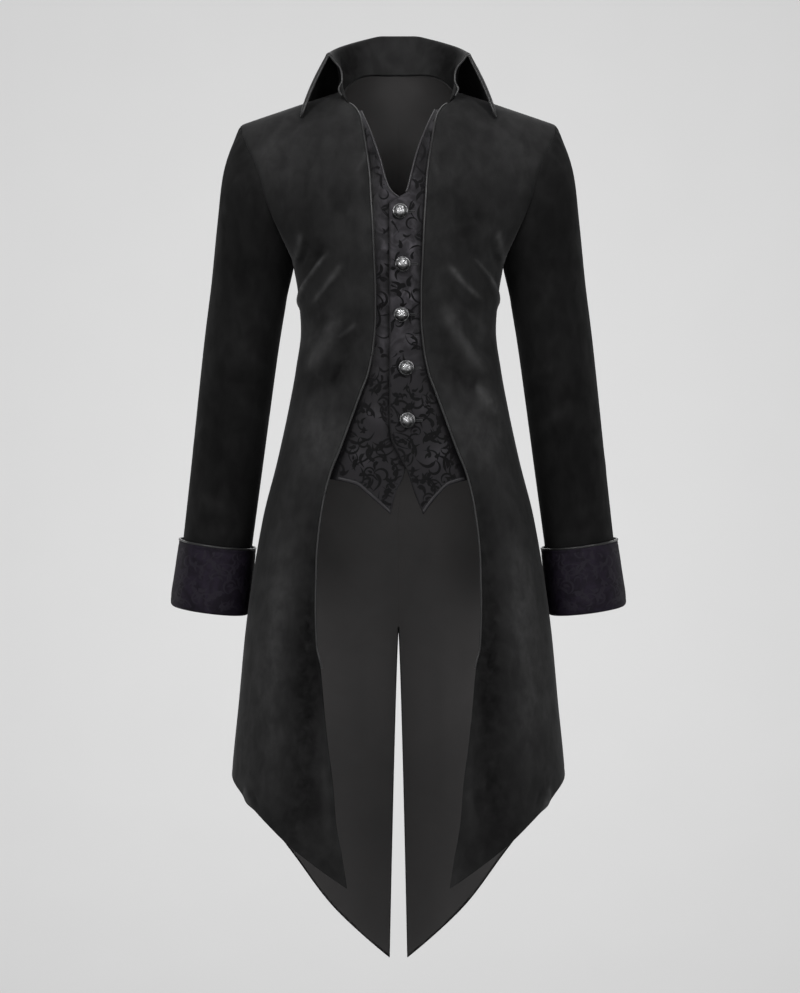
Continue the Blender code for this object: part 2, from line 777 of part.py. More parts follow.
def vest_y(x, z):
    """The plain chest surface that the waistcoat follows, in front of the body."""
    if z <= CHEST_Z:
        half_width = BODY.read("half_width", z)
        power = BODY.read("power", z)
        depth = BODY.read("front", z)
        if z < VEST_DEPTH.places[-1]:
            depth = min(depth, VEST_DEPTH.read("front", z))
        return -section_depth(half_width, depth, x, power)
    rise = (z - CHEST_Z) / (shoulder_height(x, False) - CHEST_Z)
    t = math.asin(min(rise, 1.0)) * 2 / math.pi
    return yoke_point(x, t, YOKE.read("half_width", t), back=False)[1]


def vest_point(x, z, inset):
    """A point of the waistcoat, set in behind the chest surface along its normal."""
    step = NORMAL_STEP
    across = (vest_y(x + step, z) - vest_y(x - step, z)) / (2 * step)
    up = (vest_y(x, z + step) - vest_y(x, z - step)) / (2 * step)
    normal = np.array((across, -1.0, up))
    normal /= np.linalg.norm(normal)
    return np.array((x, vest_y(x, z), z)) - normal * inset


def vest_grid(edge, under):
    """A waistcoat panel from its centre edge to its side edge, from its hem to its top."""
    top = edge.places[-1]
    rows = []
    for i in range(VEST_ROWS + 1):
        height = i / VEST_ROWS
        height = mix(height, (1 - math.cos(math.pi * height)) / 2, VEST_END_SHARE)
        row = []
        for j in range(VEST_COLUMNS + 1):
            w = (j / VEST_COLUMNS) ** VEST_COLUMN_POWER
            z = mix(VEST_HEM.read("z", w), top, height)
            x = mix(edge.read("x", z), VEST_SIDE.read("x", z), w)
            sideways = smoothstep((w - VEST_SIDE_START) / (1 - VEST_SIDE_START))
            inset = mix(VEST_INSET, VEST_SIDE_INSET, sideways)
            if under:
                span = VEST_UNDERLAP["end"] - VEST_UNDERLAP["start"]
                share = smoothstep((-x - VEST_UNDERLAP["start"]) / span)
                inset += VEST_UNDERLAP["drop"] * share
            row.append(vest_point(x, z, inset))
        rows.append(row)
    return np.array(rows)


def make_vest():
    left = vest_grid(VEST_EDGE_LEFT, under=False)
    right = vest_grid(VEST_EDGE_RIGHT, under=True)
    cloth("vest_left", left, JACQUARD, "vest_jacquard")
    cloth("vest_right", right, JACQUARD, "vest_jacquard", mirror_x=True)
    return left, right


def make_vest_binding(left, right):
    """A narrow binding along each side of the V neck."""
    for side, grid in (("left", left), ("right", right)):
        inward = square_off(grid[:, 0] - grid[:, 1], grid[:, 0])
        front = np.array((0.0, -JACQUARD / 2, 0.0))
        path = grid[:, 0] + inward * (BINDING_RADIUS + EDGE_GAP) + front
        path = path[grid[:, 0, 2] > BINDING_LOW_Z[side]]
        name = f"vest_binding_{side}"
        cord(name, path, BINDING_RADIUS, "satin_piping", mirror_x=side == "right")


def make_buttons():
    """Domed buttons on short shanks, each turned to the panel that it sits on."""
    for number, spot in enumerate(BUTTONS, start=1):
        seat = vest_point(spot["x"], spot["z"], VEST_INSET - JACQUARD - BUTTON_SEAT)
        inner = vest_point(spot["x"], spot["z"], VEST_INSET)
        mesh = bpy.data.meshes.new(f"button_{number}")
        profile = [(row["radius"], 0.0, row["height"]) for row in BUTTON_PROFILE]
        edges = [(k, k + 1) for k in range(len(profile) - 1)]
        mesh.from_pydata(profile, edges, [])
        button = placed(f"button_{number}", mesh, "pewter")
        turning = button.modifiers.new("turning", "SCREW")
        turning.steps = BUTTON_STEPS
        turning.render_steps = BUTTON_STEPS
        turning.use_merge_vertices = True
        turning.merge_threshold = BUTTON_MERGE
        turning.use_smooth_shade = True
        button.location = Vector(seat)
        axis = Vector(seat - inner)
        button.rotation_euler = axis.to_track_quat("Z", "Y").to_euler()


def main():
    for thing in list(bpy.data.objects):
        bpy.data.objects.remove(thing)
    coat = bpy.data.collections.new(COLLECTION)
    bpy.context.scene.collection.children.link(coat)
    make_fronts()
    make_backs()
    make_lining()
    make_front_piping()
    make_sleeves()
    make_cuffs()
    make_collar()
    make_collar_piping()
    left, right = make_vest()
    make_vest_binding(left, right)
    make_buttons()


main()
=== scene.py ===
"""The long velvet tailcoat, dressed for the render: cloth shells on the solids' own forms, at a
finer grain, with their creases, woven figures, stitches and light.

Metres, +Z up. The front looks along -Y, and +X is the wearer's left. Panels are grids of rows
and columns, made from the same sections as the solids.
"""

import math

import bpy
import numpy as np
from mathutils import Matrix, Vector


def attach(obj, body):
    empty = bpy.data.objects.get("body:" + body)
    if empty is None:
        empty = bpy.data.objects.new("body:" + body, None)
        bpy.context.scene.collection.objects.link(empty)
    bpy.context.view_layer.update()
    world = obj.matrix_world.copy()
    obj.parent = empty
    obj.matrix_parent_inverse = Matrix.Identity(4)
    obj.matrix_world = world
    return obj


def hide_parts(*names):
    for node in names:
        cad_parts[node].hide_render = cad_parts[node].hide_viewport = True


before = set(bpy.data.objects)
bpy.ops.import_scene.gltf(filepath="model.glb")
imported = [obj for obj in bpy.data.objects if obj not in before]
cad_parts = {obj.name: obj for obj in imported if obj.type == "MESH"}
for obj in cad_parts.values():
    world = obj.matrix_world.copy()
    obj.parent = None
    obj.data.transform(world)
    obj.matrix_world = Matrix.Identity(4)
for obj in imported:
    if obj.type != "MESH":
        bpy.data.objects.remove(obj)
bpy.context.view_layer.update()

SIDES = ("left", "right")

VELVET = 0.002
LINING = 0.001
JACQUARD = 0.0015
SEAM_GAP = 0.0003
LINING_GAP = 0.0007
LINING_EDGE = 0.004
LINING_TOP_EDGE = 0.0012
EDGE_GAP = 0.0005
PIPING_RADIUS = 0.0016
BINDING_RADIUS = 0.0012

CHEST_Z = -0.238
VENT_TOP_Z = -0.756
TAIL_TIP_Z = -1.235
PIPING_END_Z = -0.8

NECK_X = 0.08
SHOULDER_X = 0.219
SHOULDER_SLOPE = 0.335
SHOULDER_Y = 0.008
NAPE_RISE = 0.0703
NAPE_POWER = 1.8
CHEST_FRONT = 0.122
CHEST_BACK = 0.118
CHEST_POWER = 2.5
COLLAR_END_T = 0.7375
NAPE_T = 0.674
PIPING_UNDER_COLLAR = 0.012
VENT_OPENING = 0.013
VENT_POWER = 0.75
BACK_NECK_U = 3 / 8

# Depths and widths of the marks that sewing leaves on the cloth.
SEAM_DIP = 0.0006
SEAM_DIP_WIDTH = 0.003
STITCHES_IN = 0.0065
STITCH_DIP = 0.0003
STITCH_DIP_WIDTH = 0.0016
FACING_WIDTH = 0.055
HEM_FACING = 0.035
FIGURE_LIFT = 0.00012

# How dark the cloth lies along a seam, and the waistcoat beside the coat's front edges.
SEAM_SHADE = 0.35
SEAM_SHADE_WIDTH = 0.004
COAT_SHADE = 0.74
COAT_SHADE_WIDTH = 0.0125
# The same along the waistcoat's closing edge, and on the panel under it.
CLOSING_SHADE = 0.55
CLOSING_SHADE_WIDTH = 0.0022
UNDERLAP_SHADE = 0.72
UNDERLAP_SHADE_WIDTH = 0.0045

# Grains of the panels.
FRONT_COLUMNS = 96
BACK_COLUMNS = 50
LOWER_ROWS = 250
LOWER_ROW_POWER = 1.15
UPPER_ROWS = 60
SLEEVE_COLUMNS = 112
CAP_ROWS = 34
ARM_ROWS = 92
COLLAR_COLUMNS = 84


class Table:
    """A short table with named columns. The first is the place, and the others are read at it."""

    def __init__(self, columns, *rows):
        names = columns.split()
        self.columns = {n: np.array(c, float) for n, c in zip(names, zip(*rows))}
        self.places = self.columns[names[0]]
        self.slopes = {n: self.slope(c) for n, c in self.columns.items()}

    def slope(self, values):
        """Slopes at the rows that keep the curve between the rows' own values."""
        ratio = np.diff(values) / np.diff(self.places)
        before = np.concatenate([ratio[:1], ratio])
        after = np.concatenate([ratio, ratio[-1:]])
        total = before + after
        same = before * after > 0
        inner = np.where(same, 2 * before * after / np.where(same, total, 1.0), 0.0)
        inner[0] = ratio[0]
        inner[-1] = ratio[-1]
        return inner

    def read(self, column, place):
        """The column's values at places, on a smooth curve through the rows."""
        place = np.asarray(place, float)
        places, values, slopes = self.places, self.columns[column], self.slopes[column]
        i = np.clip(np.searchsorted(places, place, side="right") - 1, 0, len(places) - 2)
        step = places[i + 1] - places[i]
        s = np.clip((place - places[i]) / step, 0.0, 1.0)
        start = (1 + 2 * s) * values[i] + s * step * slopes[i]
        end = (3 - 2 * s) * values[i + 1] + (s - 1) * step * slopes[i + 1]
        return (1 - s) ** 2 * start + s**2 * end


BODY = Table(
    "z half_width front back power",
    (-1.25, 0.243, 0.165, 0.168, 2.2),
    (-1.1, 0.238, 0.163, 0.166, 2.2),
    (-0.956, 0.231, 0.16, 0.163, 2.2),
    (-0.851, 0.221, 0.156, 0.158, 2.2),
    (-0.746, 0.211, 0.15, 0.152, 2.2),
    (-0.599, 0.188, 0.138, 0.141, 2.2),
    (-0.515, 0.167, 0.127, 0.13, 2.25),
    (-0.431, 0.149, 0.117, 0.115, 2.3),
    (-0.389, 0.1415, 0.113, 0.108, 2.35),
    (-0.333, 0.1345, 0.111, 0.104, 2.4),
    (-0.285, 0.138, 0.117, 0.112, 2.45),
    (CHEST_Z, 0.146, CHEST_FRONT, CHEST_BACK, CHEST_POWER),
)

FRONT_EDGE = Table(
    "z x",
    (-1.095, 0.0695),
    (-1.055, 0.0757),
    (-1.009, 0.0838),
    (-0.953, 0.0885),
    (-0.902, 0.0953),
    (-0.859, 0.1),
    (-0.8, 0.1056),
    (-0.769, 0.1124),
    (-0.72, 0.1139),
    (-0.653, 0.1128),
    (-0.612, 0.1095),
    (-0.571, 0.1034),
    (-0.533, 0.094),
    (-0.502, 0.0817),
    (-0.463, 0.0675),
    (-0.422, 0.0525),
    (-0.398, 0.0436),
    (-0.358, 0.0361),
    (-0.321, 0.0334),
    (-0.284, 0.0334),
    (CHEST_Z, 0.0354),
)

YOKE = Table(
    "t half_width armhole edge",
    (0.0, 0.146, 0.146, 0.0354),
    (0.13, 0.176, 0.166, 0.0375),
    (0.2, 0.193, 0.1757, 0.0392),
    (0.3, 0.214, 0.186, 0.041),
    (0.37, 0.225, 0.19, 0.0435),
    (0.47, 0.238, 0.198, 0.0481),
    (0.61, 0.241, 0.21, 0.0545),
    (0.69, 0.24, 0.2145, 0.063),
    (0.74, 0.238, 0.217, 0.0735),
    (0.85, 0.232, 0.2185, 0.077),
    (1.0, 0.224, SHOULDER_X, NECK_X),
)

HEM = Table(
    "u front back",
    (0.0, -1.0954, TAIL_TIP_Z),
    (0.2, -1.0527, -1.165),
    (0.4, -1.013, -1.085),
    (0.6, -0.985, -1.02),
    (0.8, -0.965, -0.977),
    (1.0, -0.95, -0.95),
)

# Soft flares from the hips to the hem, in degrees round from the side seam.
FLARES = (
    {"angle": -52.0, "width": 13.0, "height": 0.0045, "top": -0.5},
    {"angle": -22.0, "width": 9.0, "height": -0.0035, "top": -0.62},
    {"angle": 24.0, "width": 12.0, "height": 0.006, "top": -0.46},
    {"angle": 50.0, "width": 10.0, "height": -0.006, "top": -0.48},
    {"angle": 72.0, "width": 9.0, "height": 0.0055, "top": -0.42},
)

# Creases of each front, seen from the front: x and z of one end and of the other, the bow to one
# side, and the width and height of the ridge. A negative height is a trough.
FRONT_CREASES = {
    "left": (
        (0.143, -0.314, 0.094, -0.228, -0.007, 0.0042, 0.0062),
        (0.124, -0.281, 0.09, -0.218, -0.005, 0.007, -0.0039),
        (0.119, -0.299, 0.066, -0.244, 0.005, 0.005, 0.0038),
        (0.118, -0.326, 0.064, -0.27, 0.004, 0.008, -0.0033),
        (0.127, -0.406, 0.056, -0.294, 0.005, 0.012, 0.0022),
        (0.134, -0.383, 0.09, -0.324, 0.003, 0.009, -0.0036),
        (0.11, -0.436, 0.064, -0.356, 0.004, 0.011, -0.0024),
        (0.139, -0.456, 0.102, -0.408, 0.002, 0.013, 0.0027),
        (0.15, -0.246, 0.137, -0.196, 0.006, 0.0055, 0.0036),
        (0.142, -0.256, 0.128, -0.2, 0.005, 0.006, -0.0033),
        (0.056, -0.13, 0.044, -0.098, 0.0, 0.004, 0.0009),
        (0.208, -0.962, 0.194, -1.005, 0.001, 0.0045, 0.0036),
        (0.196, -0.964, 0.184, -0.998, 0.001, 0.005, -0.0027),
        (0.162, -0.62, 0.17, -0.97, 0.008, 0.022, 0.0012),
        (0.128, -0.7, 0.122, -1.02, -0.005, 0.019, -0.003),
        (0.1, -0.86, 0.09, -1.05, 0.004, 0.011, 0.0008),
    ),
    "right": (
        (0.144, -0.316, 0.093, -0.228, -0.006, 0.004, 0.0066),
        (0.127, -0.28, 0.096, -0.216, -0.004, 0.007, -0.0042),
        (0.12, -0.302, 0.074, -0.242, 0.003, 0.005, 0.0038),
        (0.126, -0.324, 0.082, -0.272, 0.003, 0.0085, -0.0036),
        (0.134, -0.4, 0.078, -0.304, 0.007, 0.013, 0.0024),
        (0.134, -0.356, 0.098, -0.308, 0.004, 0.0075, -0.0027),
        (0.086, -0.35, 0.056, -0.326, 0.003, 0.004, 0.0024),
        (0.102, -0.424, 0.062, -0.348, 0.004, 0.01, -0.003),
        (0.14, -0.442, 0.108, -0.398, 0.002, 0.01, -0.0021),
        (0.146, -0.248, 0.135, -0.2, 0.006, 0.0055, 0.004),
        (0.138, -0.254, 0.127, -0.206, 0.004, 0.006, -0.0033),
        (0.058, -0.124, 0.042, -0.088, 0.002, 0.004, 0.0012),
        (0.212, -0.964, 0.196, -1.002, 0.002, 0.0045, 0.0036),
        (0.201, -0.966, 0.186, -0.999, 0.002, 0.005, -0.0027),
        (0.156, -0.64, 0.172, -0.96, 0.006, 0.02, 0.0012),
        (0.132, -0.68, 0.128, -1.03, -0.006, 0.021, -0.003),
        (0.102, -0.89, 0.088, -1.06, 0.003, 0.011, 0.0008),
    ),
}

# Painted light and shade on each front: soft patches, lighter or darker than the cloth round
# them. Each has its x and z, its reach along both, its turn in degrees and its tone.
FRONT_PAINTED_SHADING = {
    "right": (
        (0.168, -0.1, 0.038, 0.042, 20.0, 0.3),
        (0.118, -0.206, 0.018, 0.044, -15.0, -0.28),
        (0.123, -0.344, 0.019, 0.019, 0.0, 0.55),
        (0.09, -0.4, 0.043, 0.0215, -26.0, -0.36),
        (0.064, -0.342, 0.024, 0.022, -40.0, -0.32),
        (0.102, -0.486, 0.042, 0.05, 0.0, 0.74),
        (0.133, -0.446, 0.017, 0.04, 0.0, 0.2),
        (0.156, -0.69, 0.03, 0.11, 6.0, 0.34),
        (0.199, -0.86, 0.014, 0.07, 0.0, 0.25),
        (0.118, -0.76, 0.03, 0.19, 4.0, -0.54),
        (0.142, -1.02, 0.044, 0.09, 30.0, -0.3),
        (0.096, -1.08, 0.016, 0.09, 4.0, -0.18),
        (0.191, -0.92, 0.02, 0.03, 0.0, -0.22),
        (0.076, -0.14, 0.024, 0.05, 0.0, -0.08),
    ),
    "left": (
        (0.165, -0.104, 0.036, 0.044, 24.0, 0.26),
        (0.093, -0.19, 0.023, 0.048, -20.0, -0.3),
        (0.118, -0.336, 0.018, 0.022, 10.0, 0.6),
        (0.094, -0.4, 0.043, 0.0215, -22.0, -0.34),
        (0.066, -0.348, 0.02, 0.02, -45.0, -0.36),
        (0.104, -0.488, 0.043, 0.049, 0.0, 0.7),
        (0.136, -0.46, 0.016, 0.042, 0.0, 0.16),
        (0.162, -0.71, 0.03, 0.12, 5.0, 0.38),
        (0.201, -0.87, 0.013, 0.06, 0.0, 0.2),
        (0.118, -0.73, 0.03, 0.2, 4.0, -0.56),
        (0.138, -1.01, 0.046, 0.088, 30.0, -0.34),
        (0.094, -1.09, 0.015, 0.09, 4.0, -0.16),
        (0.188, -0.91, 0.022, 0.032, 0.0, -0.24),
        (0.13, -0.23, 0.014, 0.034, 0.0, 0.34),
    ),
}
# Painted light and shade on the backs, listed as on the fronts.
BACK_PAINTED_SHADING = (
    (0.12, -0.11, 0.046, 0.05, 14.0, 0.26),
    (0.05, -0.2, 0.03, 0.07, 0.0, -0.16),
    (0.11, -0.33, 0.024, 0.026, 0.0, 0.36),
    (0.07, -0.39, 0.044, 0.026, -12.0, -0.34),
    (0.08, -0.52, 0.046, 0.06, 0.0, 0.28),
    (0.06, -0.82, 0.022, 0.17, 2.0, -0.24),
    (0.12, -0.86, 0.026, 0.15, 4.0, 0.26),
    (0.09, -1.1, 0.05, 0.07, 20.0, -0.26),
)
# Painted light on the lining: lighter where the coat is deepest, against the shade that falls
# there.
LINING_PAINTED_LIGHT = Table(
    "z tone",
    (-1.24, 0.08),
    (-1.05, 0.24),
    (-0.8, 0.95),
    (-0.68, 1.25),
    (-0.6, 1.65),
    (-0.5, 1.5),
    (-0.34, 1.0),
    (-0.2, 1.15),
    (-0.13, 0.8),
    (-0.08, 0.38),
    (0.0, 0.08),
)
# Painted light and shade on the sleeves: degrees round the sleeve and height of each patch,
# its reach both ways and its tone.
SLEEVE_PAINTED_SHADING = (
    (60.0, -0.09, 60.0, 0.05, 0.55),
    (300.0, -0.09, 60.0, 0.05, 0.55),
    (90.0, -0.24, 90.0, 0.06, -0.2),
    (270.0, -0.25, 90.0, 0.06, -0.16),
    (80.0, -0.364, 60.0, 0.028, 0.3),
    (290.0, -0.376, 60.0, 0.03, 0.28),
    (120.0, -0.49, 80.0, 0.06, -0.14),
    (80.0, -0.612, 80.0, 0.016, 0.24),
    (260.0, -0.616, 80.0, 0.016, 0.22),
)
# Painted highlight on a ridge for each metre of its height, and painted shade in a trough.
RIDGE_PAINTED_HIGHLIGHT = 500.0
TROUGH_PAINTED_SHADE = 65.0
LIGHT_SHARP = 1.45
LIGHT_TAPER = 4.0
PATCH_STRENGTH = 1.15
TONE_LOW = -0.75
TONE_HIGH = 3.0
# Painted shade inside the ends of the collar's stand, over its first rows.
STAND_END_PAINTED_SHADE = -0.7
STAND_ROWS = 26

# Creases of the backs, written as those of the fronts, by the distance from the centre back.
BACK_CREASES = {
    "left": (
        (0.128, -0.3, 0.07, -0.244, 0.006, 0.009, 0.0037),
        (0.13, -0.322, 0.076, -0.276, 0.004, 0.008, -0.003),
        (0.124, -0.354, 0.054, -0.318, 0.005, 0.01, 0.0032),
        (0.116, -0.386, 0.05, -0.352, 0.004, 0.009, -0.0025),
        (0.136, -0.42, 0.086, -0.378, 0.004, 0.012, 0.0022),
        (0.132, -0.17, 0.105, -0.25, -0.006, 0.011, 0.0032),
        (0.118, -0.156, 0.088, -0.23, -0.004, 0.01, -0.0022),
        (0.062, -0.56, 0.082, -1.04, 0.006, 0.02, 0.0014),
        (0.032, -0.64, 0.048, -1.1, 0.003, 0.016, -0.0024),
        (0.13, -0.52, 0.142, -0.96, -0.006, 0.024, -0.0037),
    ),
    "right": (
        (0.124, -0.29, 0.062, -0.252, 0.005, 0.008, 0.0032),
        (0.132, -0.316, 0.082, -0.28, 0.005, 0.009, -0.0028),
        (0.122, -0.346, 0.064, -0.306, 0.006, 0.011, 0.0037),
        (0.118, -0.376, 0.06, -0.338, 0.004, 0.009, -0.003),
        (0.138, -0.43, 0.076, -0.394, 0.003, 0.013, 0.002),
        (0.136, -0.164, 0.112, -0.238, -0.006, 0.01, 0.0035),
        (0.116, -0.162, 0.094, -0.222, -0.004, 0.009, -0.0018),
        (0.07, -0.6, 0.086, -1.06, 0.005, 0.022, 0.0014),
        (0.036, -0.6, 0.044, -1.08, 0.002, 0.015, -0.0024),
        (0.126, -0.56, 0.148, -0.97, -0.005, 0.022, -0.0035),
    ),
}

SLEEVE = Table(
    "z x y half_width half_depth",
    (-0.722, 0.2665, 0.045, 0.0458, 0.05),
    (-0.627, 0.2545, 0.036, 0.0465, 0.052),
    (-0.515, 0.2403, 0.026, 0.0478, 0.057),
    (-0.431, 0.23, 0.019, 0.049, 0.061),
    (-0.347, 0.2194, 0.014, 0.0502, 0.0645),
    (-0.29, 0.211, 0.011, 0.0512, 0.066),
)
ARM_OUT = 0.129
ARM_BACK = 0.066
ARM_TOP_Z = -0.29
ARM_END_Z = -0.7205
ARMHOLE_GAP = 0.0007
ARMPIT_CLEARANCE = 0.0006
ARMPIT_SHARE = 0.55
CAP_LEAVE = np.array((0.15, 0.0, -0.99))
CAP_LEAVE_TOP = np.array((0.25, 0.0, 0.07))
CAP_LEAVE_SIDE = np.array((0.45, 0.0, 0.3))
CAP_LEAVE_FORWARD = np.array((0.0, -0.12, 0.0))

# Folds of each sleeve: degrees round from the body side (90 is the front), height, how far they
# run round and up, and the width and height of the ridge.
SLEEVE_FOLDS = {
    "left": (
        (60.0, -0.392, 46.0, 0.016, 0.0085, 0.0018),
        (44.0, -0.424, 52.0, 0.02, 0.008, -0.002),
        (70.0, -0.458, 48.0, 0.022, 0.0095, 0.0019),
        (52.0, -0.49, 42.0, 0.018, 0.0085, -0.0017),
        (150.0, -0.505, 40.0, -0.026, 0.01, 0.0012),
        (128.0, -0.44, 44.0, -0.02, 0.009, -0.0013),
        (96.0, -0.588, 52.0, 0.012, 0.01, 0.0013),
        (84.0, -0.612, 56.0, 0.01, 0.0085, -0.0014),
        (300.0, -0.43, 60.0, -0.02, 0.011, 0.0024),
        (286.0, -0.468, 54.0, -0.018, 0.01, -0.0022),
        (266.0, -0.34, 44.0, 0.018, 0.012, 0.0018),
        (72.0, -0.304, 34.0, 0.03, 0.011, 0.0014),
        (232.0, -0.56, 50.0, 0.016, 0.012, 0.0016),
    ),
    "right": (
        (64.0, -0.378, 42.0, 0.018, 0.009, 0.0019),
        (50.0, -0.412, 48.0, 0.016, 0.0075, -0.0017),
        (58.0, -0.446, 52.0, 0.024, 0.01, 0.0021),
        (74.0, -0.48, 40.0, 0.014, 0.008, -0.0019),
        (142.0, -0.474, 42.0, -0.028, 0.0095, 0.0013),
        (134.0, -0.534, 36.0, -0.016, 0.01, -0.0011),
        (104.0, -0.576, 50.0, 0.016, 0.0105, 0.0014),
        (90.0, -0.606, 60.0, 0.008, 0.008, -0.0015),
        (296.0, -0.416, 58.0, -0.024, 0.011, 0.0022),
        (282.0, -0.456, 50.0, -0.016, 0.0095, -0.0024),
        (258.0, -0.352, 46.0, 0.02, 0.012, 0.0016),
        (66.0, -0.316, 36.0, 0.028, 0.01, 0.0012),
        (240.0, -0.548, 48.0, 0.02, 0.011, 0.0018),
    ),
}

CUFF_TURN = Table(
    "n z out",
    (0, -0.702, -0.0005),
    (1, -0.7225, -0.0005),
    (2, -0.7245, 0.0018),
    (3, -0.7247, 0.0055),
    (4, -0.7225, 0.0078),
    (5, -0.708, 0.0086),
    (6, -0.67, 0.0072),
    (7, -0.6345, 0.0059),
)

# Mean radius of a cuff's outside, round which its figure is laid.
CUFF_RADIUS = 0.056

COLLAR = Table(
    "q fold_x fold_y fold_z edge_x edge_y edge_z",
    (0.0, 0.0, 0.076, 0.085, 0.0, 0.096, 0.01),
    (0.14, 0.0215, 0.0725, 0.0845, 0.029, 0.0925, 0.009),
    (0.3, 0.044, 0.062, 0.0785, 0.061, 0.08, 0.005),
    (0.6, 0.084, 0.018, 0.0595, 0.117, 0.03, -0.0095),
    (0.8, 0.0925, -0.01, 0.0505, 0.129, -0.008, -0.015),
    (0.9, 0.094, -0.023, 0.0477, 0.1325, -0.03, -0.0255),
    (1.0, 0.0935, -0.035, 0.044, 0.134, -0.051, -0.039),
)
COLLAR_NECK_SHARE = 0.6
COLLAR_SEAT = 0.0008
FOLD_RADIUS = 0.0026
FALL_BULGE = 0.0022
STAND_SWAY = Table(
    "s sway",
    (0.0, 0.0),
    (0.27, 0.0045),
    (0.5, -0.004),
    (0.73, -0.007),
    (1.0, 0.0),
)

VEST_EDGE = {
    "left": Table(
        "z x",
        (-0.59, 0.0345),
        (-0.572, 0.0268),
        (-0.5545, 0.0202),
        (-0.531, 0.0124),
        (-0.51, 0.0014),
        (-0.485, -0.01),
        (-0.46, -0.0123),
        (-0.25, -0.0123),
        (-0.166, -0.0123),
        (-0.1545, 0.003),
        (-0.1485, 0.0125),
        (-0.127, 0.0183),
        (-0.093, 0.0268),
        (-0.056, 0.04),
        (-0.028, 0.052),
    ),
    "right": Table(
        "z x",
        (-0.59, 0.011),
        (-0.562, 0.0042),
        (-0.531, -0.009),
        (-0.5, -0.0125),
        (-0.4, -0.0125),
        (-0.25, -0.011),
        (-0.164, -0.011),
        (-0.156, 0.001),
        (-0.15, 0.0085),
        (-0.14, 0.0155),
        (-0.098, 0.0275),
        (-0.062, 0.04),
        (-0.03, 0.053),
    ),
}
VEST_HEM = Table("w z", (0.0, -0.59), (0.25, -0.565), (0.45, -0.549), (1.0, -0.535))
VEST_SIDE = Table(
    "z x",
    (-0.59, 0.15),
    (-0.45, 0.115),
    (-0.333, 0.098),
    (-0.238, 0.095),
    (-0.1, 0.095),
    (-0.03, 0.096),
)
VEST_DEPTH = Table(
    "z front",
    (-0.6, 0.1215),
    (-0.515, 0.119),
    (-0.431, 0.1155),
    (-0.389, 0.113),
    (-0.333, 0.111),
)
VEST_COLUMNS = 60
VEST_ROWS = 230
VEST_COLUMN_POWER = 1.15
VEST_END_SHARE = 0.4
VEST_INSET = 0.0042
VEST_SIDE_INSET = 0.0034
VEST_SIDE_START = 0.6
UNDERLAP_START = -0.04
UNDERLAP_END = -0.022
UNDERLAP_DROP = 0.004
BINDING_LOW_Z = {"left": -0.15, "right": -0.158}

# The camera looks straight at the front, with its lens and sensor in millimetres.
CAMERA_PLACE = (0.0022, -4.5, -0.566)
LENS = 144.64
SENSOR_WIDTH = 36.0

# The stage: a round floor of paper that bends up into a wall, and its brightest place.
STAGE_FLAT = 5.0
STAGE_RADIUS = 8.8
STAGE_BEND = 2.6
FLOOR_Z = -2.7
PAPER_BRIGHT = (0.0, 8.8, -0.75)
WORLD_STRENGTH = 0.34

# Name, place, aim, size and power in watts of each area light.
LIGHTS = (
    ("key_left", (-1.9, -3.0, 1.7), (0.0, 0.0, -0.45), (1.2, 1.6), 105),
    ("key_right", (1.9, -3.0, 1.5), (0.0, 0.0, -0.45), (1.2, 1.6), 80),
    ("front_low", (0.0, -3.6, -1.2), (0.0, 0.0, -0.8), (2.4, 1.2), 26),
    ("top", (0.0, 0.3, 2.4), (0.0, 0.0, -0.4), (1.6, 1.6), 40),
    ("rim_left", (-2.6, 1.2, -0.2), (0.0, 0.0, -0.6), (0.8, 2.2), 14),
    ("rim_right", (2.6, 1.2, -0.2), (0.0, 0.0, -0.6), (0.8, 2.2), 14),
    ("back", (0.0, 3.4, 1.6), (0.0, 0.0, -0.6), (2.4, 1.6), 55),
    ("wall", (0.0, 3.2, 2.2), (0.0, 8.8, -0.6), (3.0, 1.6), 150),
    ("wall_low", (0.0, 3.2, -2.2), (0.0, 8.8, -0.6), (3.0, 1.2), 60),
)

# The woven figure: how wide its strokes are, and the height from which it thins out.
STROKE_SHARE = 1.04
SPARSE_FROM_Z = -0.405

# Number, x, z and turn of each button.
BUTTONS = (
    (1, 0.0027, -0.177, 0.3),
    (2, 0.006, -0.249, 1.9),
    (3, 0.0041, -0.3174, 2.6),
    (4, 0.0109, -0.3904, 4.4),
    (5, 0.0123, -0.462, 5.2),
)
BUTTON_PROFILE = Table(
    "n radius height",
    (0, 0.0, 0.0085),
    (1, 0.0022, 0.0083),
    (2, 0.0046, 0.0077),
    (3, 0.0066, 0.0066),
    (4, 0.008, 0.0052),
    (5, 0.0086, 0.0044),
    (6, 0.0091, 0.0047),
    (7, 0.0098, 0.0048),
    (8, 0.0104, 0.0042),
    (9, 0.0105, 0.0033),
    (10, 0.0098, 0.0027),
    (11, 0.006, 0.0024),
    (12, 0.0036, 0.0022),
    (13, 0.0034, 0.0),
    (14, 0.0, 0.0),
)
BUTTON_SEAT = 0.0008
BUTTON_STEPS = 56
PETALS = 6
PETAL_LIFT = 0.00045
HOLE_START = 0.0095
HOLE_END = 0.0205
HOLE_HALF_WIDTH = 0.001
HOLE_STEPS = 20
THREAD_RADIUS = 0.0006
THREAD_LIFT = 0.0001


def mix(a, b, share):
    """The value a share of the way from a to b."""
    return a + (b - a) * share


def smoothstep(x):
    """A soft step from 0 to 1, for x from 0 to 1."""
    x = np.clip(x, 0.0, 1.0)
    return x * x * (3 - 2 * x)


def bell(distance, width):
    """1 at no distance, falling softly to nothing at about twice the width."""
    return np.exp(-((distance / width) ** 2))


def section_x(half_width, angle, power):
    """x on a rounded section, whose angle is 0 at the side seam and a right angle at the middle."""
    return half_width * np.maximum(np.cos(angle), 0.0) ** (2 / power)


def section_angle(half_width, x, power):
    """The angle at which a section reaches x."""
    return np.arccos(np.clip(x / half_width, 0.0, 1.0) ** (power / 2))


def section_depth(half_width, depth, x, power):
    """How far a section lies from the middle plane at x."""
    inside = np.maximum(0.0, 1 - np.minimum(np.abs(x) / half_width, 1.0) ** power)
    return depth * inside ** (1 / power)


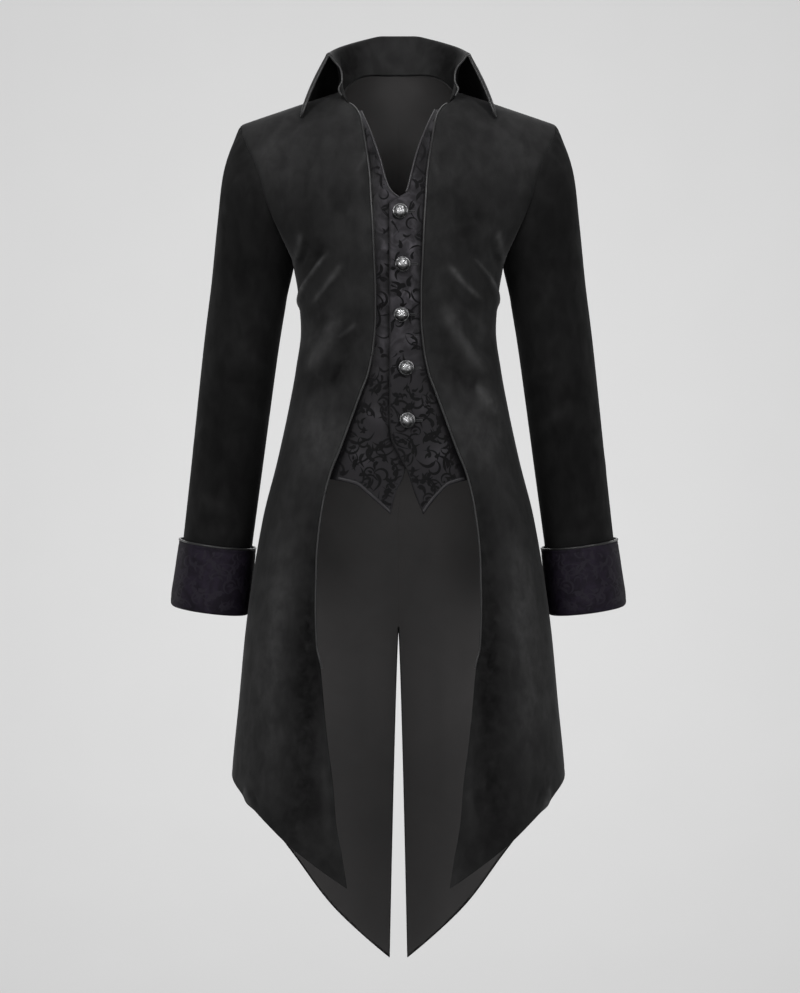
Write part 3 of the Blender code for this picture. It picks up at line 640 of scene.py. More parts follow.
def shoulder_height(x, back):
    """Height of the shoulder line, which rises to the nape on the back."""
    x = np.abs(x)
    inner = NAPE_RISE * (1 - np.minimum(x / NECK_X, 1.0) ** NAPE_POWER) if back else 0.0
    return np.where(x >= NECK_X, -SHOULDER_SLOPE * (x - NECK_X), inner)


def yoke_point(x, t, half_width, back):
    """Points between the chest line and the shoulder seam, on a quarter of an ellipse."""
    rise = np.sin(t * math.pi / 2)
    lean = np.cos(t * math.pi / 2)
    depth = CHEST_BACK if back else -CHEST_FRONT
    y = section_depth(half_width, depth, x, CHEST_POWER)
    z = mix(CHEST_Z, shoulder_height(x, back), rise)
    return np.stack([x, mix(SHOULDER_Y, y, lean), z], axis=-1)


def flare(signed_angle, z):
    """How far the skirt's flares stand out at an angle round the body and a height."""
    degrees = np.degrees(signed_angle)
    total = 0.0
    for row in FLARES:
        grown = smoothstep((row["top"] - z) / (row["top"] - TAIL_TIP_Z))
        total = total + row["height"] * grown * bell(degrees - row["angle"], row["width"])
    return total


def creases(rows, x, z, sharp=1.0, taper=2.4):
    """Height of creases at places of a panel, each bent by its bow to one side,
    sharp times narrower than its row says, and faded at its ends, the later the more taper."""
    total = np.zeros_like(x)
    for x0, z0, x1, z1, bow, width, height in rows:
        length = math.hypot(x1 - x0, z1 - z0)
        run_x, run_z = (x1 - x0) / length, (z1 - z0) / length
        along = ((x - x0) * run_x + (z - z0) * run_z) / length
        across = (z - z0) * run_x - (x - x0) * run_z
        across = across - bow * 4 * along * (1 - along)
        fade = smoothstep(along * taper) * smoothstep((1 - along) * taper)
        wide = width * (0.8 + 0.5 * along) / sharp
        total = total + height * fade * bell(across, wide)
    return total


def front_lower(u, v):
    """Points of a front from its hem (v 0) to the chest line (v 1), and its flares."""
    z = mix(HEM.read("front", u), CHEST_Z, v)
    half_width, power = BODY.read("half_width", z), BODY.read("power", z)
    angle = section_angle(half_width, FRONT_EDGE.read("x", z), power) * (1 - u)
    x = section_x(half_width, angle, power)
    y = -BODY.read("front", z) * np.sin(angle) ** (2 / power)
    return np.stack([x, y, z], axis=-1), flare(-angle, z)


def front_upper(u, v):
    """Points of a front from the chest line (v 1) to the shoulder seam (v 2)."""
    t = v - 1
    half_width, armhole = YOKE.read("half_width", t), YOKE.read("armhole", t)
    edge = YOKE.read("edge", t)
    start = section_angle(half_width, edge, CHEST_POWER)
    end = section_angle(half_width, armhole, CHEST_POWER)
    round_x = section_x(half_width, mix(start, end, u), CHEST_POWER)
    x = mix(round_x, mix(edge, armhole, u), smoothstep(t))
    return yoke_point(x, t, half_width, back=False), np.zeros_like(x)


def vent_x(z):
    """Half the vent's opening at a height."""
    share = np.maximum(0.0, (VENT_TOP_Z - z) / (VENT_TOP_Z - TAIL_TIP_Z))
    return VENT_OPENING * share**VENT_POWER


def back_lower(u, v):
    """Points of a back from its hem to the chest line, and its flares."""
    z = mix(HEM.read("back", u), CHEST_Z, v)
    half_width, power = BODY.read("half_width", z), BODY.read("power", z)
    angle = section_angle(half_width, vent_x(z), power) * (1 - u)
    x = section_x(half_width, angle, power)
    y = BODY.read("back", z) * np.sin(angle) ** (2 / power)
    return np.stack([x, y, z], axis=-1), flare(angle, z)


def back_upper(u, v):
    """Points of a back from the chest line to the neck and the shoulder seam."""
    top_t = mix(NAPE_T, 1.0, np.minimum(u / BACK_NECK_U, 1.0) ** 2)
    t = (v - 1) * top_t
    half_width, armhole = YOKE.read("half_width", t), YOKE.read("armhole", t)
    end = section_angle(half_width, armhole, CHEST_POWER)
    round_x = section_x(half_width, mix(math.pi / 2, end, u), CHEST_POWER)
    outer = mix(NECK_X, SHOULDER_X, (u - BACK_NECK_U) / (1 - BACK_NECK_U))
    top_x = np.where(u <= BACK_NECK_U, NECK_X * u / BACK_NECK_U, outer)
    x = mix(round_x, top_x * armhole / SHOULDER_X, smoothstep(v - 1))
    return yoke_point(x, t, half_width, back=True), np.zeros_like(x)


def near_edges(count, start=True, end=True, fine=0.0012):
    """Places from 0 to 1, with two more close to each named end for a rolled edge."""
    places = list(np.linspace(0.0, 1.0, count + 1))
    if start:
        places[1:1] = [fine, 3 * fine]
    if end:
        places[-1:-1] = [1 - 3 * fine, 1 - fine]
    return np.array(places)


def body_rows():
    """A body panel's rows below and above the chest line, close together at its ends."""
    k = np.arange(LOWER_ROWS, 0, -1) / LOWER_ROWS
    lower = 1 - k**LOWER_ROW_POWER
    lower = np.concatenate([lower[:1], [0.0012, 0.0036], lower[1:]])
    upper = 1 + near_edges(UPPER_ROWS, start=False, fine=0.003)
    return lower, upper


def normals_of(grid, sign):
    """Normals of an open grid, turned by the sign."""
    along_u = np.gradient(grid, axis=1)
    along_v = np.gradient(grid, axis=0)
    normal = np.cross(along_u, along_v) * sign
    length = np.linalg.norm(normal, axis=-1, keepdims=True)
    return normal / np.maximum(length, 1e-12)


def body_panel(lower, upper, columns, sign):
    """Points, relief and normals of a body panel at its rows and columns."""
    low_rows, high_rows = body_rows()
    u, v = np.meshgrid(columns, low_rows)
    low, low_relief = lower(u, v)
    u, v = np.meshgrid(columns, high_rows)
    high, high_relief = upper(u, v)
    grid = np.concatenate([low, high])
    return grid, np.concatenate([low_relief, high_relief]), normals_of(grid, sign)


def edge_distance(grid, edge):
    """How far along the cloth each point of a grid lies from one of its edges."""
    views = {"first": (1, False), "last": (1, True), "bottom": (0, False), "top": (0, True)}
    axis, turned = views[edge]
    work = np.flip(grid, axis) if turned else grid
    steps = np.linalg.norm(np.diff(work, axis=axis), axis=-1)
    zero = np.zeros_like(np.take(steps, [0], axis=axis))
    run = np.concatenate([zero, np.cumsum(steps, axis=axis)], axis=axis)
    return np.flip(run, axis) if turned else run


def rolled(distance, depth=SEAM_DIP, reach=SEAM_DIP_WIDTH):
    """A seam's dip: deepest on the edge, gone a little way in."""
    return -depth * bell(distance, reach)


def stitched(distance, place=STITCHES_IN, depth=STITCH_DIP, reach=STITCH_DIP_WIDTH):
    """The shallow trough that a row of stitches draws beside an edge."""
    return -depth * bell(distance - place, reach)


def pulled_in(grid, edges, amount):
    """A grid with the named edges drawn in along the cloth."""
    grid = grid.copy()
    views = {
        "first": grid,
        "last": grid[:, ::-1],
        "bottom": grid.swapaxes(0, 1),
        "top": grid.swapaxes(0, 1)[:, ::-1],
    }
    for edge in edges:
        view = views[edge]
        inward = view[:, 3] - view[:, 0]
        view[:, 0] += amount * inward / np.linalg.norm(inward, axis=-1, keepdims=True)
    return grid


# Materials.


def nodes_of(name, colour, roughness, **settings):
    """A new Principled material: its tree, its shader and its links."""
    made = bpy.data.materials.new(name)
    made.use_nodes = True
    tree = made.node_tree
    shader = tree.nodes["Principled BSDF"]
    shader.inputs["Base Color"].default_value = (*colour, 1.0)
    shader.inputs["Roughness"].default_value = roughness
    for key, value in settings.items():
        shader.inputs[key.replace("_", " ")].default_value = value
    return made, tree, shader


def put(tree, kind, **values):
    """A node with its properties and its sockets' values set by name."""
    node = tree.nodes.new(kind)
    for key, value in values.items():
        if hasattr(node, key):
            setattr(node, key, value)
        else:
            node.inputs[key.replace("_", " ")].default_value = value
    return node


def coordinates(tree, source="Object", scale=(1.0, 1.0, 1.0)):
    """Object or UV coordinates in metres, scaled."""
    place = tree.nodes.new("ShaderNodeTexCoord")
    mapping = put(tree, "ShaderNodeMapping", Scale=scale)
    tree.links.new(place.outputs[source], mapping.inputs["Vector"])
    return mapping.outputs["Vector"]


def noise(tree, vector, scale, detail=3.0, distortion=0.0):
    """The value of a noise at a vector."""
    node = put(tree, "ShaderNodeTexNoise", Scale=scale, Detail=detail, Distortion=distortion)
    tree.links.new(vector, node.inputs["Vector"])
    return node.outputs["Fac"]


def spread(tree, value, low, high, out_low, out_high):
    """A value's range from low to high, spread over another range."""
    node = put(tree, "ShaderNodeMapRange")
    for key, number in (
        ("From Min", low), ("From Max", high), ("To Min", out_low), ("To Max", out_high)
    ):
        node.inputs[key].default_value = number
    tree.links.new(value, node.inputs["Value"])
    return node.outputs["Result"]


def blended(tree, share, dark, light):
    """A colour between two, each given as a colour or as a socket."""
    node = tree.nodes.new("ShaderNodeMix")
    node.data_type = "RGBA"
    for socket, colour in ((6, dark), (7, light)):
        if isinstance(colour, tuple):
            node.inputs[socket].default_value = (*colour, 1.0)
        else:
            tree.links.new(colour, node.inputs[socket])
    tree.links.new(share, node.inputs[0])
    return node.outputs[2]


def toned(tree, colour, soft=None):
    """A colour times the piece's tone, which holds painted light and shade, broken up a little
    by a noise.
    """
    tone = put(tree, "ShaderNodeAttribute", attribute_name="tone").outputs["Fac"]
    if soft is not None:
        product = put(tree, "ShaderNodeMath", operation="MULTIPLY")
        tree.links.new(tone, product.inputs[0])
        tree.links.new(soft, product.inputs[1])
        tone = product.outputs[0]
    scaled = put(tree, "ShaderNodeVectorMath", operation="SCALE")
    tree.links.new(colour, scaled.inputs[0])
    one_more = put(tree, "ShaderNodeMath", operation="ADD")
    one_more.inputs[1].default_value = 1.0
    tree.links.new(tone, one_more.inputs[0])
    tree.links.new(one_more.outputs[0], scaled.inputs["Scale"])
    return scaled.outputs[0]


def bumped(tree, shader, *heights):
    """Bumps one over the other: pairs of a height and its distance."""
    before = None
    for height, distance, strength in heights:
        node = put(tree, "ShaderNodeBump", Distance=distance, Strength=strength)
        tree.links.new(height, node.inputs["Height"])
        if before:
            tree.links.new(before, node.inputs["Normal"])
        before = node.outputs["Normal"]
    tree.links.new(before, shader.inputs["Normal"])


def make_velvet(name, tone, sheen):
    """Velvet whose colour is scaled by tone: lower tones make darker copies that paint shade."""
    made, tree, shader = nodes_of(
        name,
        (0.012 * tone, 0.012 * tone, 0.0122 * tone),
        0.85,
        Sheen_Weight=sheen,
        Sheen_Roughness=0.42,
        Sheen_Tint=(0.6, 0.6, 0.61, 1.0),
        Specular_IOR_Level=0.08,
    )
    even = coordinates(tree)
    brushed = coordinates(tree, "Object", (1.0, 1.0, 0.62))
    clouds = spread(tree, noise(tree, even, 11.0, 3.0, 0.7), 0.36, 0.66, 0.0, 1.0)
    strokes = spread(tree, noise(tree, brushed, 58.0, 4.0, 0.4), 0.34, 0.68, 0.0, 1.0)
    low, middle, high = (
        tuple(c * tone for c in grey)
        for grey in ((0.0078, 0.0078, 0.0079), (0.0112, 0.0112, 0.0113), (0.0158, 0.0158, 0.016))
    )
    base = blended(tree, clouds, low, middle)
    light = blended(tree, clouds, middle, high)
    broken = spread(tree, noise(tree, even, 80.0, 5.0, 0.6), 0.3, 0.7, 0.62, 1.38)
    colour = toned(tree, blended(tree, strokes, base, light), broken)
    tree.links.new(colour, shader.inputs["Base Color"])
    tree.links.new(spread(tree, strokes, 0.0, 1.0, 0.92, 0.78), shader.inputs["Roughness"])
    pile = noise(tree, coordinates(tree, "Object", (1.0, 1.0, 0.6)), 900.0, 2.0)
    soft = noise(tree, brushed, 70.0, 3.0)
    bumped(tree, shader, (soft, 0.0008, 0.16), (pile, 0.0005, 0.32))
    return made


def make_lining_material():
    """The lining's twill, with the piece's painted light in its colour."""
    made, tree, shader = nodes_of(
        "lining_twill",
        (0.022, 0.021, 0.021),
        0.72,
        Specular_IOR_Level=0.22,
    )
    even = coordinates(tree)
    clouds = spread(tree, noise(tree, even, 12.0, 3.0, 0.6), 0.35, 0.68, 0.0, 1.0)
    colour = toned(tree, blended(tree, clouds, (0.0275, 0.0264, 0.0264), (0.0315, 0.03, 0.03)))
    tree.links.new(colour, shader.inputs["Base Color"])
    twill = put(tree, "ShaderNodeTexWave", wave_type="BANDS", bands_direction="DIAGONAL")
    twill.inputs["Scale"].default_value = 160.0
    twill.inputs["Distortion"].default_value = 0.6
    tree.links.new(coordinates(tree, "UV"), twill.inputs["Vector"])
    soft = noise(tree, even, 42.0, 3.0)
    bumped(tree, shader, (soft, 0.0008, 0.12), (twill.outputs["Fac"], 0.0002, 0.25))
    return made


def make_jacquard(name, dark, light, roughness, fade=None):
    """The ground of a jacquard: fine ribs, with soft clouds of tone in it. fade gives two
    heights between which it darkens downwards, and how dark it gets."""
    made, tree, shader = nodes_of(name, light, roughness, Specular_IOR_Level=0.09)
    even = coordinates(tree)
    clouds = spread(tree, noise(tree, even, 42.0, 4.0, 1.6), 0.4, 0.64, 0.0, 1.0)
    ribs = put(tree, "ShaderNodeTexWave", wave_type="BANDS", bands_direction="Z")
    ribs.inputs["Scale"].default_value = 210.0
    ribs.inputs["Distortion"].default_value = 1.4
    ribs.inputs["Detail"].default_value = 2.0
    tree.links.new(even, ribs.inputs["Vector"])
    base = blended(tree, clouds, dark, light)
    thread = spread(tree, ribs.outputs["Fac"], 0.0, 1.0, 0.0, 0.35)
    colour = blended(tree, thread, base, dark)
    if fade:
        place = tree.nodes.new("ShaderNodeSeparateXYZ")
        tree.links.new(even, place.inputs["Vector"])
        share = spread(tree, place.outputs["Z"], fade[0], fade[1], 0.0, 1.0)
        colour = blended(tree, share, tuple(c * fade[2] for c in light), colour)
    tree.links.new(toned(tree, colour), shader.inputs["Base Color"])
    grain = noise(tree, even, 700.0, 2.0)
    bumped(tree, shader, (ribs.outputs["Fac"], 0.0002, 0.3), (grain, 0.0003, 0.3))
    return made


def make_satin(name, colour, roughness):
    """Satin of piping and bindings, shinier in patches."""
    made, tree, shader = nodes_of(
        name, colour, roughness, Specular_IOR_Level=0.34, Sheen_Weight=0.05, Sheen_Roughness=0.3
    )
    even = coordinates(tree)
    patches = noise(tree, even, 90.0, 3.0)
    tree.links.new(
        spread(tree, patches, 0.3, 0.7, roughness - 0.08, roughness + 0.14),
        shader.inputs["Roughness"],
    )
    bumped(tree, shader, (noise(tree, even, 420.0, 2.0), 0.0004, 0.35))
    return made


def make_pewter():
    """Antique pewter: dark in the relief's hollows and worn bright on its tops, with the buttons'
    painted highlight and shade from their tone.
    """
    made, tree, shader = nodes_of("pewter_antique", (0.4, 0.4, 0.41), 0.26, Metallic=1.0)
    even = coordinates(tree)
    relief = put(tree, "ShaderNodeTexVoronoi", feature="SMOOTH_F1", Scale=260.0)
    tree.links.new(even, relief.inputs["Vector"])
    tone = spread(tree, relief.outputs["Distance"], 0.15, 0.7, 1.0, 0.0)
    patina_and_painted_light = toned(tree, blended(tree, tone, (0.11, 0.11, 0.112), (0.33, 0.33, 0.335)))
    tree.links.new(patina_and_painted_light, shader.inputs["Base Color"])
    tree.links.new(spread(tree, tone, 0.0, 1.0, 0.38, 0.22), shader.inputs["Roughness"])
    bumped(tree, shader, (tone, 0.0003, 0.35), (noise(tree, even, 900.0, 2.0), 0.0002, 0.2))
    return made


def make_plain(name, colour, roughness, **settings):
    """Thread or plain weave of one colour, with a fine grain."""
    made, tree, shader = nodes_of(name, colour, roughness, **settings)
    even = coordinates(tree)
    grain = noise(tree, even, 480.0, 2.0)
    dark = tuple(c * 0.72 for c in colour)
    tree.links.new(blended(tree, grain, dark, colour), shader.inputs["Base Color"])
    bumped(tree, shader, (grain, 0.0002, 0.3))
    return made


LOOK = {
    "velvet": make_velvet("velvet_nap", 0.94, 0.09),
    # Darker copies of the velvet: painted shade on the sleeves and on the collar's inner side.
    "velvet_sleeve_shaded": make_velvet("velvet_sleeve_shaded", 0.36, 0.025),
    "velvet_collar_shaded": make_velvet("velvet_collar_shaded", 0.22, 0.008),
    "lining": make_lining_material(),
    "vest": make_jacquard(
        "vest_ground", (0.013, 0.0122, 0.014), (0.04, 0.0376, 0.0425), 0.46,
        fade=(-0.42, -0.3, 0.26),
    ),
    "vest_pale": make_plain(
        "vest_pale", (0.017, 0.016, 0.018), 0.5, Specular_IOR_Level=0.2
    ),
    "vest_figure": make_plain(
        "vest_figure", (0.0028, 0.0027, 0.0031), 0.7, Specular_IOR_Level=0.08
    ),
    "cuff": make_jacquard(
        "cuff_ground", (0.0046, 0.0035, 0.0062), (0.0112, 0.0084, 0.0152), 0.66
    ),
    "cuff_figure": make_plain(
        "cuff_figure", (0.014, 0.012, 0.0172), 0.6, Specular_IOR_Level=0.08
    ),
    "satin": make_satin("piping_satin", (0.01, 0.01, 0.0103), 0.34),
    "binding": make_satin("binding_satin", (0.022, 0.021, 0.023), 0.36),
    "pewter": make_pewter(),
    "thread": make_plain("thread_black", (0.006, 0.006, 0.007), 0.6),
}


# Shells of cloth.


def finish_piece(thing, nodes):
    """Links a piece, hides the nodes that it replaces, and rides it on the body."""
    bpy.context.scene.collection.objects.link(thing)
    if nodes:
        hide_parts(*nodes)
    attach(thing, "root")
    return thing


def patches(rows, x, z):
    """Sum of soft patches of painted light and shade at places of a panel."""
    total = np.zeros_like(x)
    for px, pz, reach_x, reach_z, turn, tone in rows:
        c, s = math.cos(math.radians(turn)), math.sin(math.radians(turn))
        along = ((x - px) * c + (z - pz) * s) / reach_x
        across = ((z - pz) * c - (x - px) * s) / reach_z
        total += PATCH_STRENGTH * tone * np.exp(-((along**2 + across**2) ** 1.3))
    return total


def sleeve_painted_shading(grid, angles):
    """Sum of the sleeves' soft patches of painted light and shade."""
    total = np.zeros(grid.shape[:2])
    degrees = np.degrees(angles)[None, :]
    for angle, z, run, reach, tone in SLEEVE_PAINTED_SHADING:
        off = ((degrees - angle + 180) % 360 - 180) / run
        total += tone * np.exp(-(off**2) - ((grid[..., 2] - z) / reach) ** 2)
    return total


def painted_crease_light(relief):
    """Painted highlight on ridges and painted shade in troughs, given as tone."""
    return np.where(relief > 0, relief * RIDGE_PAINTED_HIGHLIGHT, relief * TROUGH_PAINTED_SHADE)


def shell(
    name, inner, outer, looks, slot_name, nodes, ring=False, flip=False, index=None, tone=None
):
    """Two grids of points joined round their open edges: a wall of cloth with rolled edges.

    looks gives the materials of the outer and of the inner side, index the pair of them that
    each face takes, and tone the painted light and shade at each point.
    each face takes, and tone how much lighter or darker the cloth lies at each point."""
    rows, columns = outer.shape[:2]
    middle = (inner + outer) / 2
    across = columns if ring else columns - 1
    i, j = np.meshgrid(np.arange(rows - 1), np.arange(across), indexing="ij")
    k = (j + 1) % columns
    low, high = i * columns, (i + 1) * columns
    quads = np.stack([low + j, low + k, high + k, high + j], axis=-1).reshape(-1, 4)
    offset = rows * columns
    # The edge's own loop, walked once round, or the two end rings of a tube.
    if ring:
        loops = [np.arange(columns), (rows - 1) * columns + np.arange(columns)[::-1]]
    else:
        loops = [np.concatenate([
            np.arange(columns),
            columns * np.arange(1, rows) + columns - 1,
            (rows - 1) * columns + np.arange(columns - 1)[::-1],
            columns * np.arange(1, rows - 1)[::-1],
        ])]
    flat_middle = middle.reshape(-1, 3)
    flat_outer = outer.reshape(-1, 3)
    thickness = np.linalg.norm(outer - inner, axis=-1).reshape(-1)
    rim_points, rim_quads, rim_source = [], [], []
    start = 2 * offset
    for loop in loops:
        neighbours = inward_of(loop, rows, columns, ring)
        away = flat_outer[loop] - flat_outer[neighbours]
        away /= np.maximum(np.linalg.norm(away, axis=1, keepdims=True), 1e-9)
        rim = flat_middle[loop] + away * thickness[loop][:, None] * 0.35
        count = len(loop)
        here = start + np.arange(count)
        after = start + (np.arange(count) + 1) % count
        nxt = np.roll(loop, -1)
        rim_quads.append(np.stack([nxt + offset, loop + offset, here, after], axis=-1))
        rim_quads.append(np.stack([after, here, loop, nxt], axis=-1))
        rim_points.append(rim)
        rim_source.append(loop)
        start += count
    points = np.concatenate([inner.reshape(-1, 3), flat_outer, *rim_points])
    faces = np.concatenate([quads[:, ::-1], quads + offset, *rim_quads])
    if flip:
        faces = faces[:, ::-1]
    mesh = bpy.data.meshes.new(name)
    mesh.from_pydata(points.tolist(), [], faces.tolist())
    for look in looks:
        mesh.materials.append(LOOK[look])
    count = len(quads)
    slots = np.zeros(len(faces), int)
    pair = np.zeros(count, int) if index is None else index[: rows - 1, :across].reshape(-1)
    slots[:count] = 2 * pair + (1 if len(looks) > 1 else 0)
    slots[count:2 * count] = 2 * pair
    mesh.polygons.foreach_set("material_index", slots)
    u = edge_distance(middle, "first")
    v = edge_distance(middle, "bottom")
    flat = np.stack([u, v], axis=-1).reshape(-1, 2)
    flat = np.concatenate([flat, flat, *[flat[loop] for loop in rim_source]])
    layer = mesh.uv_layers.new(name="cloth")
    corners = np.empty(len(mesh.loops), int)
    mesh.loops.foreach_get("vertex_index", corners)
    layer.data.foreach_set("uv", flat[corners].reshape(-1))
    # The tone attribute carries painted light and shade into the colour.
    if tone is not None:
        flat_tone = tone.reshape(-1)
        values = np.concatenate([flat_tone, flat_tone, *[flat_tone[loop] for loop in rim_source]])
        mesh.attributes.new("tone", "FLOAT", "POINT").data.foreach_set(
            "value", np.clip(values, TONE_LOW, TONE_HIGH).astype(np.float32)
        )
    mesh.shade_smooth()
    mesh.validate()
    thing = bpy.data.objects.new(name, mesh)
    return finish_piece(thing, nodes)


def inward_of(loop, rows, columns, ring):
    """For each point of an edge's loop, the grid point just inside it."""
    i, j = np.divmod(loop, columns)
    i_in = np.where(i == 0, 1, np.where(i == rows - 1, rows - 2, i))
    if ring:
        return i_in * columns + j
    j_in = np.where(j == 0, 1, np.where(j == columns - 1, columns - 2, j))
    return i_in * columns + j_in


def mirrored(grid):
    """Points of the left side turned over to the right."""
    return grid * np.array((-1.0, 1.0, 1.0))


def panel(kind, side, inner, outer, looks, slot_name, held, rests_on, **settings):
    """One side's piece of cloth, given as the left one."""
    if side == "right":
        inner, outer = mirrored(inner), mirrored(outer)
    thing = shell(
        f"cloth_{kind}_{side}", inner, outer, looks, slot_name, [f"{kind}_{side}"],
        flip=side == "right", **settings,
    )
    if settings.get("ring"):
        inner = np.concatenate([inner, inner[:, :1]], axis=1)


def cord(name, path, radius, look, nodes, cyclic=False):
    """Piping along a path, as a round tube."""
    curve = bpy.data.curves.new(name, "CURVE")
    curve.dimensions = "3D"
    curve.bevel_depth = radius
    curve.bevel_resolution = 3
    curve.use_fill_caps = True
    spline = curve.splines.new("POLY")
    spline.points.add(len(path) - 1)
    spline.points.foreach_set("co", np.column_stack([path, np.ones(len(path))]).reshape(-1))
    spline.use_cyclic_u = cyclic
    curve.materials.append(LOOK[look])
    finish_piece(bpy.data.objects.new(name, curve), nodes)


def front_grid(side):
    """Base, relief, normals and painted light and shade of a front, seen as the left one."""
    columns = near_edges(FRONT_COLUMNS)
    grid, relief, normal = body_panel(front_lower, front_upper, columns, 1)
    folds = creases(FRONT_CREASES[side], grid[..., 0], grid[..., 2])
    # Painted highlights along the creases, painted shade in their troughs, and painted patches of
    # light and shade.
    lines = creases(FRONT_CREASES[side], grid[..., 0], grid[..., 2], LIGHT_SHARP, LIGHT_TAPER)
    tone = painted_crease_light(lines) + patches(FRONT_PAINTED_SHADING[side], grid[..., 0], grid[..., 2])
    return grid, relief + folds, normal, tone


def make_fronts():
    """The coat's fronts, faced with velvet inside along the front edge and the hem."""
    for side in SIDES:
        grid, relief, normal, tone = front_grid(side)
        seam = np.minimum(edge_distance(grid, "last"), edge_distance(grid, "top"))
        edge = edge_distance(grid, "first")
        hem = edge_distance(grid, "bottom")
        relief = relief + rolled(seam)
        relief = relief + stitched(np.minimum(edge, hem))
        inner = grid + normal * relief[..., None]
        outer = inner + normal * VELVET
        inner = pulled_in(inner, ("last", "top"), SEAM_GAP / 2)
        outer = pulled_in(outer, ("last", "top"), SEAM_GAP / 2)
        facing = (edge < FACING_WIDTH) | (hem < HEM_FACING)
        panel(
            "front", side, inner, outer, ("velvet", "lining", "velvet", "velvet"), "velvet",
            "hung", [f"sleeve_{side}", f"back_{side}"],
            index=facing.astype(int), tone=tone - SEAM_SHADE * bell(seam, SEAM_SHADE_WIDTH),
        )


def make_backs():
    """The coat's backs, joined down to the vent."""
    for side in SIDES:
        columns = near_edges(BACK_COLUMNS)
        grid, relief, normal = body_panel(back_lower, back_upper, columns, -1)
        folds = creases(BACK_CREASES[side], grid[..., 0], grid[..., 2])
        relief = relief + folds
        # Painted highlights and shade on the creases, and painted patches of light and shade.
        light = painted_crease_light(creases(BACK_CREASES[side], grid[..., 0], grid[..., 2], LIGHT_SHARP))
        tone = 0.6 * light + patches(BACK_PAINTED_SHADING, grid[..., 0], grid[..., 2])
        seam = np.minimum(edge_distance(grid, "last"), edge_distance(grid, "top"))
        centre = edge_distance(grid, "first")
        whole = smoothstep((grid[..., 2] - VENT_TOP_Z) / 0.01)
        hem = edge_distance(grid, "bottom")
        open_edge = np.minimum(hem, centre + whole * 1.0)
        relief = relief * smoothstep(centre / 0.012 + 0.15)
        relief = relief + rolled(seam) + rolled(centre) * whole
        relief = relief + stitched(open_edge)
        inner = grid + normal * relief[..., None]
        outer = inner + normal * VELVET
        inner = pulled_in(inner, ("first", "last", "top"), SEAM_GAP / 2)[:, ::-1]
        outer = pulled_in(outer, ("first", "last", "top"), SEAM_GAP / 2)[:, ::-1]
        panel(
            "back", side, inner, outer, ("velvet",), "velvet",
            "hung", [f"sleeve_{side}", f"front_{side}"], tone=tone[:, ::-1],
        )


def make_lining():
    """The lining's two halves, joined at the centre back and slit below the vent's top."""
    columns = near_edges(BACK_COLUMNS)
    for side in SIDES:
        grid, relief, normal = body_panel(back_lower, back_upper, columns, -1)
        relief = relief + creases(BACK_CREASES[side], grid[..., 0], grid[..., 2])
        centre = edge_distance(grid, "first")
        relief = relief * smoothstep(centre / 0.012 + 0.15)
        z = grid[..., 2]
        ripple = 0.0007 * np.sin(z * 95 + 3 * np.sin(grid[..., 0] * 24)) * smoothstep(centre / 0.02)
        inner = grid + normal * (relief - LINING_GAP - 0.0004 - np.maximum(ripple, 0))[..., None]
        whole = grid[:, 0, 2] > VENT_TOP_Z
        slit = pulled_in(inner, ("first",), LINING_EDGE / 2)
        inner[~whole] = slit[~whole]
        inner[whole, 0, 0] = 0.0
        inner = pulled_in(inner, ("last",), SEAM_GAP / 2)
        inner = pulled_in(pulled_in(inner, ("bottom",), LINING_EDGE), ("top",), LINING_TOP_EDGE)
        face = inner - normal * LINING
        face[whole, 0, 0] = 0.0
        if side == "right":
            inner, face = mirrored(inner), mirrored(face)
        # Its tone is painted light, lightest where the coat is deepest.
        thing = shell(
            f"cloth_lining_{side}", face[:, ::-1], inner[:, ::-1], ("lining",), "lining",
            ["lining_back"], flip=side == "right", tone=LINING_PAINTED_LIGHT.read("tone", z)[:, ::-1],
        )


def square_off(directions, path):
    """Directions made square to a path, and 1 long."""
    tangents = np.gradient(path, axis=0)
    tangents /= np.linalg.norm(tangents, axis=1, keepdims=True)
    directions = directions - tangents * np.sum(directions * tangents, axis=1, keepdims=True)
    return directions / np.linalg.norm(directions, axis=1, keepdims=True)


def make_front_piping():
    """Piping just off the front edges, from the collar's end down to the hips."""
    low_rows, high_rows = body_rows()
    rows = np.concatenate([low_rows, high_rows])
    for side in SIDES:
        grid, relief, normal, _ = front_grid(side)
        edge_line = stitched(edge_distance(grid, "first"))
        middle = grid + normal * (relief + edge_line + VELVET / 2)[..., None]
        high = (grid[:, 0, 2] > PIPING_END_Z) & (rows < 1 + COLLAR_END_T - PIPING_UNDER_COLLAR)
        edge, beside = middle[high, 0], middle[high, 3]
        path = edge + square_off(edge - beside, edge) * (PIPING_RADIUS + EDGE_GAP)
        if side == "right":
            path = mirrored(path)
        cord(
            f"satin_front_{side}", path, PIPING_RADIUS, "satin",
            [f"front_piping_{side}"],
        )


def sleeve_ring(angle, z, out=0.0):
    """Points of a tilted ring round the left arm."""
    across = -np.cos(angle) * (SLEEVE.read("half_width", z) + out)
    deep = -np.sin(angle) * (SLEEVE.read("half_depth", z) + out)
    height = z + across * ARM_OUT + deep * ARM_BACK
    x = SLEEVE.read("x", z) + across
    y = SLEEVE.read("y", z) + deep
    return np.stack([x, y, height], axis=-1)


def armhole_line(angles):
    """The sleeve's top edge, just outside the armholes of front and back."""
    t = 1 - np.abs(angles / math.pi - 1)
    one = np.ones_like(t)
    front = front_upper(one, 1 + t)[0]
    back = back_upper(one, 1 + t)[0]
    points = np.where((angles <= math.pi)[:, None], front, back)
    clear = ARMHOLE_GAP + ARMPIT_CLEARANCE * (1 - smoothstep(t / ARMPIT_SHARE))
    return points + np.stack([clear, 0 * clear, -clear / 2], axis=-1)


